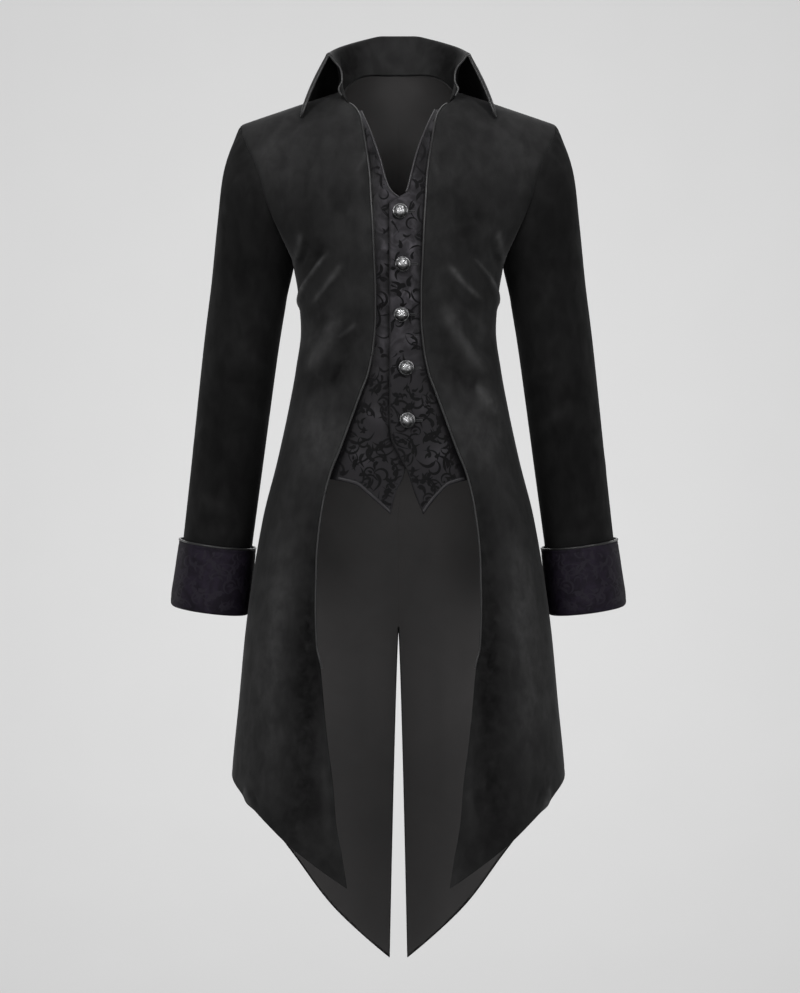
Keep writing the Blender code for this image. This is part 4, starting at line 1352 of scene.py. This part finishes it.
def sleeve_grid():
    """Points of the left sleeve, from the cuff up to the armhole seam."""
    angles = np.arange(SLEEVE_COLUMNS) * 2 * math.pi / SLEEVE_COLUMNS
    start = armhole_line(angles)
    end = sleeve_ring(angles, np.full_like(angles, ARM_TOP_Z))
    top = np.sin(angles / 2)[:, None] ** 2
    side = np.sin(angles)[:, None] ** 2
    leave = CAP_LEAVE + CAP_LEAVE_TOP * top + CAP_LEAVE_SIDE * side
    leave = leave + CAP_LEAVE_FORWARD * np.sin(angles)[:, None]
    arrive = np.array((ARM_OUT, ARM_BACK, -1.0))
    reach = np.linalg.norm(end - start, axis=1, keepdims=True)
    leave = leave / np.linalg.norm(leave, axis=1, keepdims=True) * reach
    arrive = arrive / np.linalg.norm(arrive) * reach
    cap = []
    for s in near_edges(CAP_ROWS, end=False, fine=0.008)[:-1]:
        part = (1 - s) ** 2 * ((1 + 2 * s) * start + s * leave)
        cap.append(part + s**2 * ((3 - 2 * s) * end + (s - 1) * arrive))
    heights = mix(ARM_TOP_Z, ARM_END_Z, near_edges(ARM_ROWS, start=False, fine=0.002))
    arm = [sleeve_ring(angles, np.full_like(angles, z)) for z in heights]
    return np.array(cap + arm)[::-1], angles


def tube_normals(grid):
    """Outward normals of a grid whose columns close into a ring."""
    around = np.roll(grid, -1, axis=1) - np.roll(grid, 1, axis=1)
    up = np.gradient(grid, axis=0)
    normal = np.cross(around, up)
    return normal / np.linalg.norm(normal, axis=-1, keepdims=True)


def sleeve_folds(side, grid, angles):
    """Relief of the sleeve's folds, each running part of the way round on a slant."""
    total = np.zeros(grid.shape[:2])
    degrees = np.degrees(angles)[None, :]
    for angle, z, run, rise, width, height in SLEEVE_FOLDS[side]:
        off = (degrees - angle + 180) % 360 - 180
        along = off / run
        fade = smoothstep(1 - np.abs(along))
        across = grid[..., 2] - (z + rise * along)
        total += height * fade * bell(across, width)
    return total


def make_sleeves():
    """The sleeves, eased into their armholes and flat where the cuffs cover them."""
    grid, angles = sleeve_grid()
    normal = tube_normals(grid)
    from_seam = edge_distance(grid, "top")
    for side in SIDES:
        folds = sleeve_folds(side, grid, angles)
        ease = 0.0005 * np.sin(angles * 23)[None, :] * bell(from_seam - 0.01, 0.009)
        upper = smoothstep((np.sin(angles / 2) ** 2 - 0.25) / 0.4)[None, :]
        relief = folds + ease * upper + rolled(from_seam, 0.0009, 0.0035)
        relief = relief * smoothstep((grid[..., 2] + 0.66) / 0.03)
        inner = grid + normal * relief[..., None]
        outer = inner + normal * VELVET
        # Painted highlights and shade on the folds, and painted patches of light and shade.
        panel(
            "sleeve", side, inner, outer, ("velvet_sleeve_shaded", "lining"), "velvet",
            "hung", [f"front_{side}", f"back_{side}"],
            ring=True, tone=painted_crease_light(folds) * 0.7 + sleeve_painted_shading(grid, angles),
        )


def cuff_grid():
    """Points of the left cuff, from its hidden inner edge round the fold and up outside."""
    angles = np.arange(SLEEVE_COLUMNS) * 2 * math.pi / SLEEVE_COLUMNS
    rows = np.concatenate([
        np.linspace(0, 1, 8), np.linspace(1, 5, 26)[1:], np.linspace(5, 7, 34)[1:]
    ])
    z, out = CUFF_TURN.read("z", rows), CUFF_TURN.read("out", rows)
    grid = np.array([sleeve_ring(angles, np.full_like(angles, a), b) for a, b in zip(z, out)])
    return grid, angles, rows


def cuff_ripple(side, grid, angles):
    """The cuff's turned cloth, slack here and there: long soft swells round it."""
    phase = 0.4 if side == "left" else 1.7
    swell = 0.0005 * np.sin(3 * angles + phase) + 0.0004 * np.sin(7 * angles + 2 * phase)
    return swell[None, :] * np.ones(grid.shape[:2])


def make_cuffs():
    """The turned-back cuffs with their woven figures and piping."""
    grid, angles, rows = cuff_grid()
    normal = tube_normals(grid)
    outside = smoothstep((rows - 4) / 1.0)[:, None]
    top_run = edge_distance(grid, "top")
    for side in SIDES:
        relief = np.maximum(cuff_ripple(side, grid, angles), 0.0) * outside
        relief = relief + stitched(top_run, 0.005, 0.0003, 0.0014)
        inner = grid + normal * relief[..., None]
        outer = inner + normal * JACQUARD
        path = outer[-1] - normal[-1] * JACQUARD / 2
        path = path + np.array((0.0, 0.0, SEAM_GAP + PIPING_RADIUS))
        figure = cuff_figure(outer, normal, rows)
        panel(
            "cuff", side, inner, outer, ("cuff",), "cuff_jacquard",
            "folded", [f"cloth_sleeve_{side}"], ring=True,
        )
        if side == "right":
            path = mirrored(path)
            figure = (mirrored(figure[0]), figure[1][:, ::-1])
        decal(f"woven_cuff_{side}", *figure, "cuff_figure", "cuff_jacquard")
        cord(
            f"satin_cuff_{side}", path, PIPING_RADIUS, "satin",
            [f"cuff_piping_{side}"], cyclic=True,
        )


def neck_line(q):
    """The neck seam from the centre back (0) to the collar's front end (1)."""
    back_q = np.minimum(q / COLLAR_NECK_SHARE, 1.0)
    back = back_upper(BACK_NECK_U * back_q, np.full_like(q, 2.0))[0]
    share = np.clip((q - COLLAR_NECK_SHARE) / (1 - COLLAR_NECK_SHARE), 0.0, 1.0)
    front = front_upper(np.zeros_like(q), 1 + mix(1.0, COLLAR_END_T, share))[0]
    return np.where((q <= COLLAR_NECK_SHARE)[:, None], back, front)


def collar_grid():
    """The left half of the collar: a row for each line along it, a column for each section."""
    q = near_edges(COLLAR_COLUMNS, start=False, fine=0.004)
    neck = neck_line(q)
    fold = np.stack([COLLAR.read(f"fold_{axis}", q) for axis in "xyz"], axis=-1)
    edge = np.stack([COLLAR.read(f"edge_{axis}", q) for axis in "xyz"], axis=-1)
    outward = edge - neck
    outward[:, 2] = 0.0
    outward /= np.linalg.norm(outward, axis=1, keepdims=True)
    neck = neck - outward * COLLAR_SEAT + np.array((0.0, 0.0, COLLAR_SEAT))
    front_share = np.maximum(0.0, (q - COLLAR_NECK_SHARE) / (1 - COLLAR_NECK_SHARE)) ** 2
    rows = []
    for s in np.concatenate([[0.0, 0.02], np.linspace(0.06, 0.94, 22)]):
        sway = (STAND_SWAY.read("sway", s) * front_share)[:, None]
        rows.append(mix(neck, fold, s) + outward * sway)
    centre = fold + outward * FOLD_RADIUS
    for turn in np.linspace(0.88, 0.12, 9):
        lift, swing = math.sin(turn * math.pi), math.cos(turn * math.pi)
        rows.append(centre + FOLD_RADIUS * (outward * swing + np.array((0.0, 0.0, lift))))
    fall_start = fold + outward * 2 * FOLD_RADIUS
    for s in np.concatenate([np.linspace(0.06, 0.97, 26), [0.99, 1.0]]):
        bulge = FALL_BULGE * math.sin(s * math.pi)
        rows.append(mix(fall_start, edge, s) + outward * bulge)
    grid = np.array(rows)
    grid[:, 0, 0] = 0.0
    return grid


def make_collar():
    """The turned-down collar, with painted shade inside its stand's ends, and its piping."""
    half = collar_grid()
    other = mirrored(half)[:, :0:-1]
    grid = np.concatenate([other, half], axis=1)
    normal = normals_of(grid, 1)
    distance = np.minimum(edge_distance(grid, "first"), edge_distance(grid, "last"))
    distance = np.minimum(distance, edge_distance(grid, "top"))
    relief = stitched(distance)
    inner = grid + normal * relief[..., None]
    outer = inner + normal * VELVET
    # Painted shade inside the stand's two ends.
    on_stand = smoothstep((STAND_ROWS - np.arange(len(grid))[:, None]) / 4)
    tone = STAND_END_PAINTED_SHADE * smoothstep((np.abs(grid[..., 0]) - 0.04) / 0.024) * on_stand
    thing = shell(
        "cloth_collar", inner, outer, ("velvet", "velvet_collar_shaded"), "velvet", ["collar"], tone=tone
    )
    ends = half[:, -1]
    forward = square_off(ends - half[:, -4], ends)
    down = square_off(half[-1] - half[-3], half[-1])
    reach = PIPING_RADIUS + EDGE_GAP
    path = list(ends[:-1] + forward[:-1] * reach)[4:-2]
    path.append(ends[-1] + (forward[-1] + down[-1]) * reach)
    path += list((half[-1] + down * reach)[-4::-1])
    path += [point * np.array((-1, 1, 1)) for point in path[-2::-1]]
    cord(
        "satin_collar", np.array(path), PIPING_RADIUS, "satin",
        ["collar_piping"],
    )


# The waistcoat front.


def vest_y(x, z):
    """The plain chest surface that the waistcoat follows, in front of the body."""
    x, z = np.broadcast_arrays(np.asarray(x, float), np.asarray(z, float))
    depth = np.where(
        z < VEST_DEPTH.places[-1],
        np.minimum(BODY.read("front", z), VEST_DEPTH.read("front", z)),
        BODY.read("front", z),
    )
    low = -section_depth(BODY.read("half_width", z), depth, x, BODY.read("power", z))
    rise = np.clip((z - CHEST_Z) / (shoulder_height(x, False) - CHEST_Z), 0.0, 1.0)
    t = np.arcsin(rise) * 2 / math.pi
    high = yoke_point(x, t, YOKE.read("half_width", t), back=False)[..., 1]
    return np.where(z <= CHEST_Z, low, high)


def vest_point(x, z, inset):
    """Points that lie an inset behind the chest surface, and its normals there."""
    step = 0.001
    across = (vest_y(x + step, z) - vest_y(x - step, z)) / (2 * step)
    up = (vest_y(x, z + step) - vest_y(x, z - step)) / (2 * step)
    normal = np.stack([across, -np.ones_like(across), up], axis=-1)
    normal /= np.linalg.norm(normal, axis=-1, keepdims=True)
    point = np.stack([x, vest_y(x, z), z], axis=-1)
    return point - normal * np.asarray(inset)[..., None], normal


VEST_CREASES = {
    "left": (
        (0.03, -0.3, -0.005, -0.286, 0.002, 0.007, 0.0014),
        (0.032, -0.348, 0.002, -0.356, 0.002, 0.008, 0.0018),
        (0.034, -0.368, 0.004, -0.376, -0.002, 0.006, -0.0014),
        (0.05, -0.43, 0.018, -0.456, 0.002, 0.009, 0.0016),
        (0.076, -0.49, 0.03, -0.53, 0.003, 0.012, 0.0018),
        (0.028, -0.216, 0.005, -0.234, 0.002, 0.008, 0.0012),
    ),
    "right": (
        (0.03, -0.292, -0.005, -0.302, 0.002, 0.007, 0.0016),
        (0.032, -0.356, 0.002, -0.346, 0.002, 0.008, 0.0014),
        (0.038, -0.386, 0.008, -0.392, -0.002, 0.007, -0.0012),
        (0.052, -0.442, 0.01, -0.47, 0.002, 0.01, 0.0016),
        (0.074, -0.5, 0.026, -0.526, 0.003, 0.011, 0.0016),
        (0.03, -0.228, 0.002, -0.216, 0.002, 0.008, 0.0014),
    ),
}


def vest_inset(side, x, z, w):
    """How far a panel lies behind the chest surface: more at its centre and in the underlap."""
    side_share = smoothstep((w - VEST_SIDE_START) / (1 - VEST_SIDE_START))
    inset = mix(VEST_INSET, VEST_SIDE_INSET, side_share)
    inset = inset - creases(VEST_CREASES[side], x, z) * smoothstep((x + 0.03) / 0.02)
    if side == "right":
        share = smoothstep((-x - UNDERLAP_START) / (UNDERLAP_END - UNDERLAP_START))
        inset = inset + UNDERLAP_DROP * share
    return inset


def vest_place(side, w, height):
    """x and z at a share w across a panel from its centre edge, and a share of its height."""
    edge = VEST_EDGE[side]
    z = mix(VEST_HEM.read("z", w), edge.places[-1], height)
    return mix(edge.read("x", z), VEST_SIDE.read("x", z), w), z


def make_vest():
    """The waistcoat's panels, darker where the coat and the closing edge shade them."""
    for side in SIDES:
        w = near_edges(VEST_COLUMNS, end=False, fine=0.004) ** VEST_COLUMN_POWER
        height = near_edges(VEST_ROWS, end=False, fine=0.0012)
        height = mix(height, (1 - np.cos(math.pi * height)) / 2, VEST_END_SHARE)
        w, height = np.meshgrid(w, height)
        x, z = vest_place(side, w, height)
        inner, normal = vest_point(x, z, vest_inset(side, x, z, w))
        edge = np.minimum(edge_distance(inner, "first"), edge_distance(inner, "bottom"))
        inner = inner + normal * stitched(edge, 0.0048, 0.0002, 0.0012)[..., None]
        outer = inner + normal * JACQUARD
        world_x = -x if side == "right" else x
        coat_x = FRONT_EDGE.read("x", z)
        tone = -COAT_SHADE * bell(coat_x - np.abs(world_x), COAT_SHADE_WIDTH)
        if side == "left":
            tone = tone - CLOSING_SHADE * bell(edge_distance(inner, "first"), CLOSING_SHADE_WIDTH)
        if side == "right":
            closing = VEST_EDGE["left"].read("x", z)
            tone = tone - UNDERLAP_SHADE * bell(world_x - closing + 0.001, UNDERLAP_SHADE_WIDTH)
        # Painted highlights and shade on the waistcoat's creases.
        tone = tone + painted_crease_light(creases(VEST_CREASES[side], x, z))
        panel(
            "vest", side, inner, outer, ("vest",), "vest_jacquard", "hung", [f"front_{side}"],
            tone=tone,
        )
        decal(f"woven_vest_{side}", *vest_figure(side), "vest_figure", "vest_jacquard")
        lower_band(side)


def vest_surface(side, x, z, lift):
    """Points of a waistcoat panel's face, lifted a little off it, in the coat's own places."""
    edge_x, side_x = VEST_EDGE[side].read("x", z), VEST_SIDE.read("x", z)
    w = np.clip((x - edge_x) / (side_x - edge_x), 0.0, 1.0)
    point, normal = vest_point(x, z, vest_inset(side, x, z, w) - JACQUARD - lift)
    if side == "right":
        return mirrored(point), mirrored(normal)
    return point, normal


# Woven figures: tapered strokes in a flat frame, 1 long for about a centimetre.


def arc_stroke(centre, radius, start, end, width, spiral=0.0):
    """A stroke along an arc, in degrees, whose radius grows by spiral on the way."""
    count = max(8, int(abs(end - start) * radius * (1 + spiral / 2) / 5))
    s = np.linspace(0, 1, count + 1)
    angle = np.radians(mix(start, end, s))
    reach = radius * (1 + spiral * s)
    line = np.stack([centre[0] + reach * np.cos(angle), centre[1] + reach * np.sin(angle)], -1)
    return line, width * np.sin(np.pi * np.clip(s, 0.02, 0.98)) ** 0.6


def comma(start, end, bend, width):
    """A stroke that swells near its start and thins to a point, bowed to one side."""
    s = np.linspace(0, 1, 22)
    run = np.array(end) - np.array(start)
    side = np.array((-run[1], run[0]))
    line = np.array(start) + s[:, None] * run + (bend * np.sin(np.pi * s**0.8))[:, None] * side
    swell = np.clip(s / 0.12, 0.1, 1.0) * (1 - s**1.6) ** 0.8
    return line, width * np.maximum(swell, 0.05)


def leaf(length, breadth, width):
    """A leaf's two sides, its vein and a seed."""
    return [
        comma((0, 0), (length, 0), breadth, width),
        comma((length, 0), (0, 0), breadth, width * 0.8),
        comma((length * 0.3, 0), (length * 0.62, 0.02), 0.0, width * 1.5),
    ]


def scroll(size, width):
    """A curl with a long swelling tail and two short leaves on it."""
    return [
        arc_stroke((0, 0), size * 0.34, 60, 300, width, spiral=1.1),
        comma((size * 0.36, -size * 0.62), (size * 1.55, size * 0.55), 0.34, width * 1.4),
        comma((-size * 0.15, size * 0.3), (-size * 1.1, size * 0.95), -0.3, width * 1.5),
        comma((size * 0.95, -size * 0.3), (size * 1.65, -size * 0.75), -0.25, width * 1.2),
    ]


def paisley(size, width):
    """A bent drop with a seed in it and a curl under its tip."""
    return [
        arc_stroke((0, 0), size * 0.74, -40, 215, width * 1.1),
        comma((size * 0.6, -size * 0.46), (-size * 1.15, -size * 1.55), -0.22, width * 1.5),
        comma((-size * 0.62, -size * 0.42), (-size * 1.1, -size * 1.5), 0.12, width),
        comma((-size * 0.28, -size * 0.24), (size * 0.3, size * 0.3), 0.2, width * 1.9),
    ]


def frond(size, width, count=3):
    """A stem with commas that spring from it, each bent the same way."""
    strokes = [comma((-size * 0.6, -size * 0.4), (size * 1.35, size * 0.2), 0.24, width)]
    for k in range(count):
        root = np.array((-0.4 + 0.52 * k, -0.24 + 0.2 * k)) * size
        angle = math.radians(78 - 16 * k)
        reach = size * (1.05 - 0.14 * k)
        tip = root + reach * np.array((math.cos(angle), math.sin(angle)))
        strokes.append(comma(root, tip, -0.3, width * (1.5 - 0.14 * k)))
    return strokes


def vine(size, width):
    """A long bent stem with leaves on both its sides."""
    return [
        comma((-size, -0.1 * size), (size * 1.3, 0.4 * size), 0.34, width),
        comma((-size * 0.35, size * 0.36), (-size * 0.8, size * 1.2), 0.28, width * 1.7),
        comma((size * 0.35, size * 0.62), (size * 0.7, size * 1.45), -0.32, width * 1.7),
        comma((size * 0.05, size * 0.3), (size * 0.6, -size * 0.55), 0.3, width * 1.6),
    ]


MOTIFS = (
    lambda: frond(1.45, 0.26),
    lambda: vine(1.25, 0.24),
    lambda: scroll(1.05, 0.24),
    lambda: leaf(2.4, 0.26, 0.24) + frond(1.1, 0.22, 2),
    lambda: vine(1.05, 0.28),
    lambda: paisley(0.95, 0.22),
    lambda: frond(1.2, 0.3),
)


def placed_strokes(motif, x, z, degrees, size, turned):
    """A motif's strokes, turned, sized and set down at a place."""
    angle = math.radians(degrees)
    turn = np.array(((math.cos(angle), -math.sin(angle)), (math.sin(angle), math.cos(angle))))
    flip = np.array((-1.0 if turned else 1.0, 1.0))
    made = []
    for line, width in motif():
        made.append(((line * flip) @ turn.T * size + np.array((x, z)), width * size * STROKE_SHARE))
    return made


def ribbons(strokes, surface, inside):
    """Flat ribbons along strokes, laid on a surface and left out where it has no cloth."""
    points, faces = [], []
    start = 0
    for line, width in strokes:
        run = np.gradient(line, axis=0)
        run /= np.maximum(np.linalg.norm(run, axis=1, keepdims=True), 1e-9)
        side = np.stack([-run[:, 1], run[:, 0]], axis=-1) * width[:, None] / 2
        pairs = np.stack([line + side, line - side], axis=1).reshape(-1, 2)
        keep = inside(pairs[:, 0], pairs[:, 1])
        laid = surface(pairs[:, 0], pairs[:, 1])
        for k in range(len(line) - 1):
            a = 2 * k
            if keep[a : a + 4].all():
                faces.append((start + a, start + a + 1, start + a + 3, start + a + 2))
        points.append(laid)
        start += len(pairs)
    return np.concatenate(points), np.array(faces)


def decal(name, points, faces, look, slot_name):
    """A thin figure laid on cloth, made of those points that its faces use."""
    used = np.unique(faces)
    lookup = np.full(len(points), -1)
    lookup[used] = np.arange(len(used))
    mesh = bpy.data.meshes.new(name)
    mesh.from_pydata(points[used].tolist(), [], lookup[faces].tolist())
    mesh.materials.append(LOOK[look])
    mesh.shade_smooth()
    finish_piece(bpy.data.objects.new(name, mesh), [])


def scattered(columns, rows, x_step, z_step, x_start, z_start, size, salt):
    """Motifs on a half-drop lattice, each turned and sized by its place in it."""
    strokes = []
    for i in range(columns):
        for j in range(rows):
            k = (3 * i + 2 * j + salt) % len(MOTIFS)
            degrees = 60 + 110 * math.sin(0.8 * i + 0.5 * j + salt) + 180 * ((i + j) % 3 == 0)
            x = x_start + i * x_step + 0.18 * x_step * math.sin(5.1 * j + 1.3 * i + salt)
            z = z_start + j * z_step + (0.5 * z_step if i % 2 else 0.0)
            z += 0.14 * z_step * math.sin(3.7 * i + 2.9 * j + salt)
            big = size * (0.88 + 0.22 * math.sin(2.3 * i + 4.1 * j + salt))
            strokes += placed_strokes(MOTIFS[k], x, z, degrees, big, (i + j) % 2 == 1)
    return strokes


def vest_figure(side):
    """A panel's woven figure, dense below the waist and sparse above it."""
    strokes = scattered(8, 28, 0.0212, 0.0205, -0.02, -0.602, 0.0138, 1 if side == "left" else 4)
    strokes = [
        stroke
        for n, stroke in enumerate(strokes)
        if stroke[0][0, 1] < SPARSE_FROM_Z or n % 5 < 2
    ]

    def inside(x, z):
        edge = VEST_EDGE[side].read("x", z)
        w = (x - edge) / (VEST_SIDE.read("x", z) - edge)
        hem = VEST_HEM.read("z", w) + 0.0046
        return (x > edge + 0.001) & (w < 0.97) & (z > hem) & (z < -0.034)

    def surface(x, z):
        return vest_surface(side, x, z, FIGURE_LIFT)[0]

    points, faces = ribbons(strokes, surface, inside)
    return points, faces[:, ::-1] if side == "right" else faces


def lower_band(side):
    """The narrow edge turned up along a panel's lower side."""
    w = np.linspace(0.012, 0.62, 120)
    rows = []
    for offset, lift in ((0.0, -0.0002), (0.0003, 0.0004), (0.0034, 0.0005), (0.004, -0.0001)):
        base = VEST_HEM.read("z", w) + offset + 0.0003
        x = mix(VEST_EDGE[side].read("x", base), VEST_SIDE.read("x", base), w)
        rows.append(vest_surface(side, x, base, lift)[0])
    grid = np.array(rows)
    count = len(w)
    faces = [
        (i * count + j, i * count + j + 1, (i + 1) * count + j + 1, (i + 1) * count + j)
        for i in range(len(rows) - 1)
        for j in range(count - 1)
    ]
    decal(f"band_vest_{side}", grid.reshape(-1, 3), np.array(faces), "vest_pale", "vest_jacquard")


def cuff_figure(outer, normal, rows):
    """The cuffs' woven figures, laid by the place round the cuff and up it."""
    height = edge_distance(outer, "bottom")
    start = int(np.argmax(rows >= 4))
    up = height[start:].mean(axis=1) - height[start].mean()
    around = 2 * math.pi * CUFF_RADIUS
    lifted = outer + normal * FIGURE_LIFT
    strokes = scattered(14, 6, 0.0251, 0.02, 0.006, -0.004, 0.0128, 2)

    def inside(x, z):
        return (z > 0.001) & (z < up[-1] - 0.004)

    def surface(x, z):
        column = (x / around % 1.0) * SLEEVE_COLUMNS
        row = start + np.interp(z, up, np.arange(len(up)))
        j, i = np.floor(column).astype(int), np.floor(row).astype(int)
        i = np.clip(i, 0, len(rows) - 2)
        fj, fi = (column - j)[:, None], (row - i)[:, None]
        j, k = j % SLEEVE_COLUMNS, (j + 1) % SLEEVE_COLUMNS
        low = mix(lifted[i, j], lifted[i, k], fj)
        high = mix(lifted[i + 1, j], lifted[i + 1, k], fj)
        return mix(low, high, fi)

    return ribbons(strokes, surface, inside)


def make_vest_bindings():
    """A narrow binding along each side of the V neck."""
    for side in SIDES:
        edge = VEST_EDGE[side]
        z = np.linspace(BINDING_LOW_Z[side] + 0.0005, edge.places[-1], 90)
        x = edge.read("x", z)
        zero = np.zeros_like(z)
        point = vest_point(x, z, vest_inset(side, x, z, zero))[0]
        beside = vest_point(x + 0.002, z, vest_inset(side, x + 0.002, z, zero))[0]
        inward = square_off(point - beside, point)
        path = point + inward * (BINDING_RADIUS + EDGE_GAP)
        path = path + np.array((0.0, -JACQUARD / 2, 0.0))
        if side == "right":
            path = mirrored(path)
        cord(
            f"satin_vest_{side}", path, BINDING_RADIUS, "binding",
            [f"vest_binding_{side}"],
        )


def make_buttons():
    """Domed buttons with a raised flower, on the waistcoat's face."""
    profile = np.linspace(0, 14, 57)
    radius, height = BUTTON_PROFILE.read("radius", profile), BUTTON_PROFILE.read("height", profile)
    steps = BUTTON_STEPS
    angles = np.arange(steps) * 2 * math.pi / steps
    for number, x, z, turn in BUTTONS:
        place = (np.array([x]), np.array([z]))
        seat = vest_point(*place, np.array([VEST_INSET - JACQUARD - BUTTON_SEAT]))[0][0]
        axis = vest_point(*place, np.array([VEST_INSET]))[1][0]
        # A raised flower of six petals on the dome, inside the rim.
        petal = np.cos(PETALS * (angles + turn))[None, :]
        on_dome = smoothstep(radius / 0.0022) * smoothstep((0.008 - radius) / 0.002)
        lift = PETAL_LIFT * (on_dome * (profile < 6))[:, None] * petal
        ring = np.stack([
            radius[:, None] * np.cos(angles)[None, :],
            radius[:, None] * np.sin(angles)[None, :],
            height[:, None] + lift,
        ], axis=-1)
        points = ring[1:-1].reshape(-1, 3)
        inner = len(profile) - 2
        faces = []
        for i in range(inner - 1):
            for j in range(steps):
                k = (j + 1) % steps
                low, high = i * steps, (i + 1) * steps
                faces.append((low + j, high + j, high + k, low + k))
        top, bottom = len(points), len(points) + 1
        points = np.concatenate([points, [[0, 0, height[0]]], [[0, 0, 0]]])
        for j in range(steps):
            k = (j + 1) % steps
            faces.append((top, j, k))
            faces.append((bottom, (inner - 1) * steps + k, (inner - 1) * steps + j))
        turned = Vector(axis).to_track_quat("Z", "Y").to_matrix()
        points = points @ np.array(turned).T + seat
        mesh = bpy.data.meshes.new(f"dome_{number}")
        mesh.from_pydata(points.tolist(), [], faces)
        mesh.materials.append(LOOK["pewter"])
        # Painted highlight on the dome's middle, painted shade under its lower side, and darker in
        # the rim's groove.
        away = np.hypot(points[:, 0] - seat[0], points[:, 2] - seat[2]) / radius.max()
        under = (seat[2] - points[:, 2]) / radius.max()
        shaded = smoothstep(under * 1.9 + 0.05) * smoothstep(away * 2.0)
        patina_and_painted_light = 0.9 * smoothstep(0.75 - away) - 0.95 * shaded
        patina_and_painted_light = patina_and_painted_light - 0.5 * bell(away - 0.86, 0.07)
        mesh.attributes.new("tone", "FLOAT", "POINT").data.foreach_set(
            "value", np.maximum(patina_and_painted_light, -0.86).astype(np.float32)
        )
        mesh.shade_smooth()
        thing = bpy.data.objects.new(f"dome_{number}", mesh)
        finish_piece(thing, [f"button_{number}"])


def make_buttonholes():
    """A worked slit beside each button, on its outer side."""
    for number, x, z, _ in BUTTONS:
        along = np.linspace(x + HOLE_START, x + HOLE_END, HOLE_STEPS)
        lines = []
        for offset in (-HOLE_HALF_WIDTH, HOLE_HALF_WIDTH):
            height = np.full(HOLE_STEPS, z + offset)
            lines.append(vest_surface("left", along, height, THREAD_LIFT)[0])
        loop = np.concatenate([lines[0], lines[1][::-1]])
        cord(
            f"hole_{number}", loop, THREAD_RADIUS, "thread", [], cyclic=True
        )


def make_camera():
    """The camera, at the photo's place."""
    data = bpy.data.cameras.new("camera")
    data.sensor_fit = "HORIZONTAL"
    data.sensor_width = SENSOR_WIDTH
    data.lens = LENS
    camera = bpy.data.objects.new("camera", data)
    camera.location = CAMERA_PLACE
    camera.rotation_euler = (math.pi / 2, 0.0, 0.0)
    bpy.context.scene.collection.objects.link(camera)
    bpy.context.scene.camera = camera


def make_light(name, place, target, size, power):
    """A rectangular light that faces its target."""
    data = bpy.data.lights.new(name, "AREA")
    data.shape = "RECTANGLE"
    data.size, data.size_y = size
    data.energy = power
    light = bpy.data.objects.new(name, data)
    light.location = place
    aim = Vector(target) - Vector(place)
    light.rotation_euler = aim.to_track_quat("-Z", "Y").to_euler()
    bpy.context.scene.collection.objects.link(light)


def make_floor():
    """A pale floor that curves up into a wall all round."""
    count = 96
    angles = np.arange(count) * 2 * math.pi / count
    wall, bend = STAGE_RADIUS, STAGE_BEND
    profile = [(STAGE_FLAT, 0.0), (wall - bend, 0.0)]
    profile += [
        (wall - bend + bend * math.sin(a), bend - bend * math.cos(a))
        for a in np.linspace(0, math.pi / 2, 18)[1:]
    ]
    profile += [(wall, 4.5), (wall, 7.0)]
    points = [(0.0, 0.0, FLOOR_Z)]
    for radius, height in profile:
        points += [(radius * math.cos(a), radius * math.sin(a), FLOOR_Z + height) for a in angles]
    faces = [(0, 1 + j, 1 + (j + 1) % count) for j in range(count)]
    for i in range(len(profile) - 1):
        low, high = 1 + i * count, 1 + (i + 1) * count
        for j in range(count):
            k = (j + 1) % count
            faces.append((low + k, low + j, high + j, high + k))
    mesh = bpy.data.meshes.new("studio_floor")
    mesh.from_pydata(points, [], faces)
    mesh.shade_smooth()
    mesh.materials.append(make_paper())
    floor = bpy.data.objects.new("studio_floor", mesh)
    bpy.context.scene.collection.objects.link(floor)
    floor.visible_diffuse = False


def make_paper():
    """Pale paper that glows a little, in a painted pool of light brightest behind the coat."""
    paper, tree, shader = nodes_of("studio_paper", (0.5, 0.5, 0.5), 0.95)
    shader.inputs["Specular IOR Level"].default_value = 0.0
    shader.inputs["Emission Color"].default_value = (1.0, 1.0, 1.0, 1.0)
    even = coordinates(tree)
    grain = noise(tree, even, 3.0, 2.0)
    tone = blended(tree, grain, (0.49, 0.49, 0.49), (0.51, 0.51, 0.51))
    tree.links.new(tone, shader.inputs["Base Color"])
    offset = put(tree, "ShaderNodeVectorMath", operation="SUBTRACT")
    offset.inputs[1].default_value = PAPER_BRIGHT
    tree.links.new(even, offset.inputs[0])
    reach = put(tree, "ShaderNodeVectorMath", operation="LENGTH")
    tree.links.new(offset.outputs[0], reach.inputs[0])
    # Painted light: the paper glows most near its brightest place.
    glow = spread(tree, reach.outputs["Value"], 0.3, 2.9, 0.265, 0.16)
    tree.links.new(glow, shader.inputs["Emission Strength"])
    return paper


def make_stage():
    """The floor, a pale world and soft studio lights."""
    make_floor()
    world = bpy.data.worlds.new("studio")
    world.use_nodes = True
    background = world.node_tree.nodes["Background"]
    background.inputs["Color"].default_value = (1.0, 1.0, 1.0, 1.0)
    background.inputs["Strength"].default_value = WORLD_STRENGTH
    bpy.context.scene.world = world
    for light in LIGHTS:
        make_light(*light)
    view = bpy.context.scene.view_settings
    view.view_transform = "Standard"
    view.look = "None"


make_camera()
make_stage()
make_fronts()
make_backs()
make_lining()
make_front_piping()
make_sleeves()
make_cuffs()
make_collar()
make_vest()
make_vest_bindings()
make_buttons()
make_buttonholes()
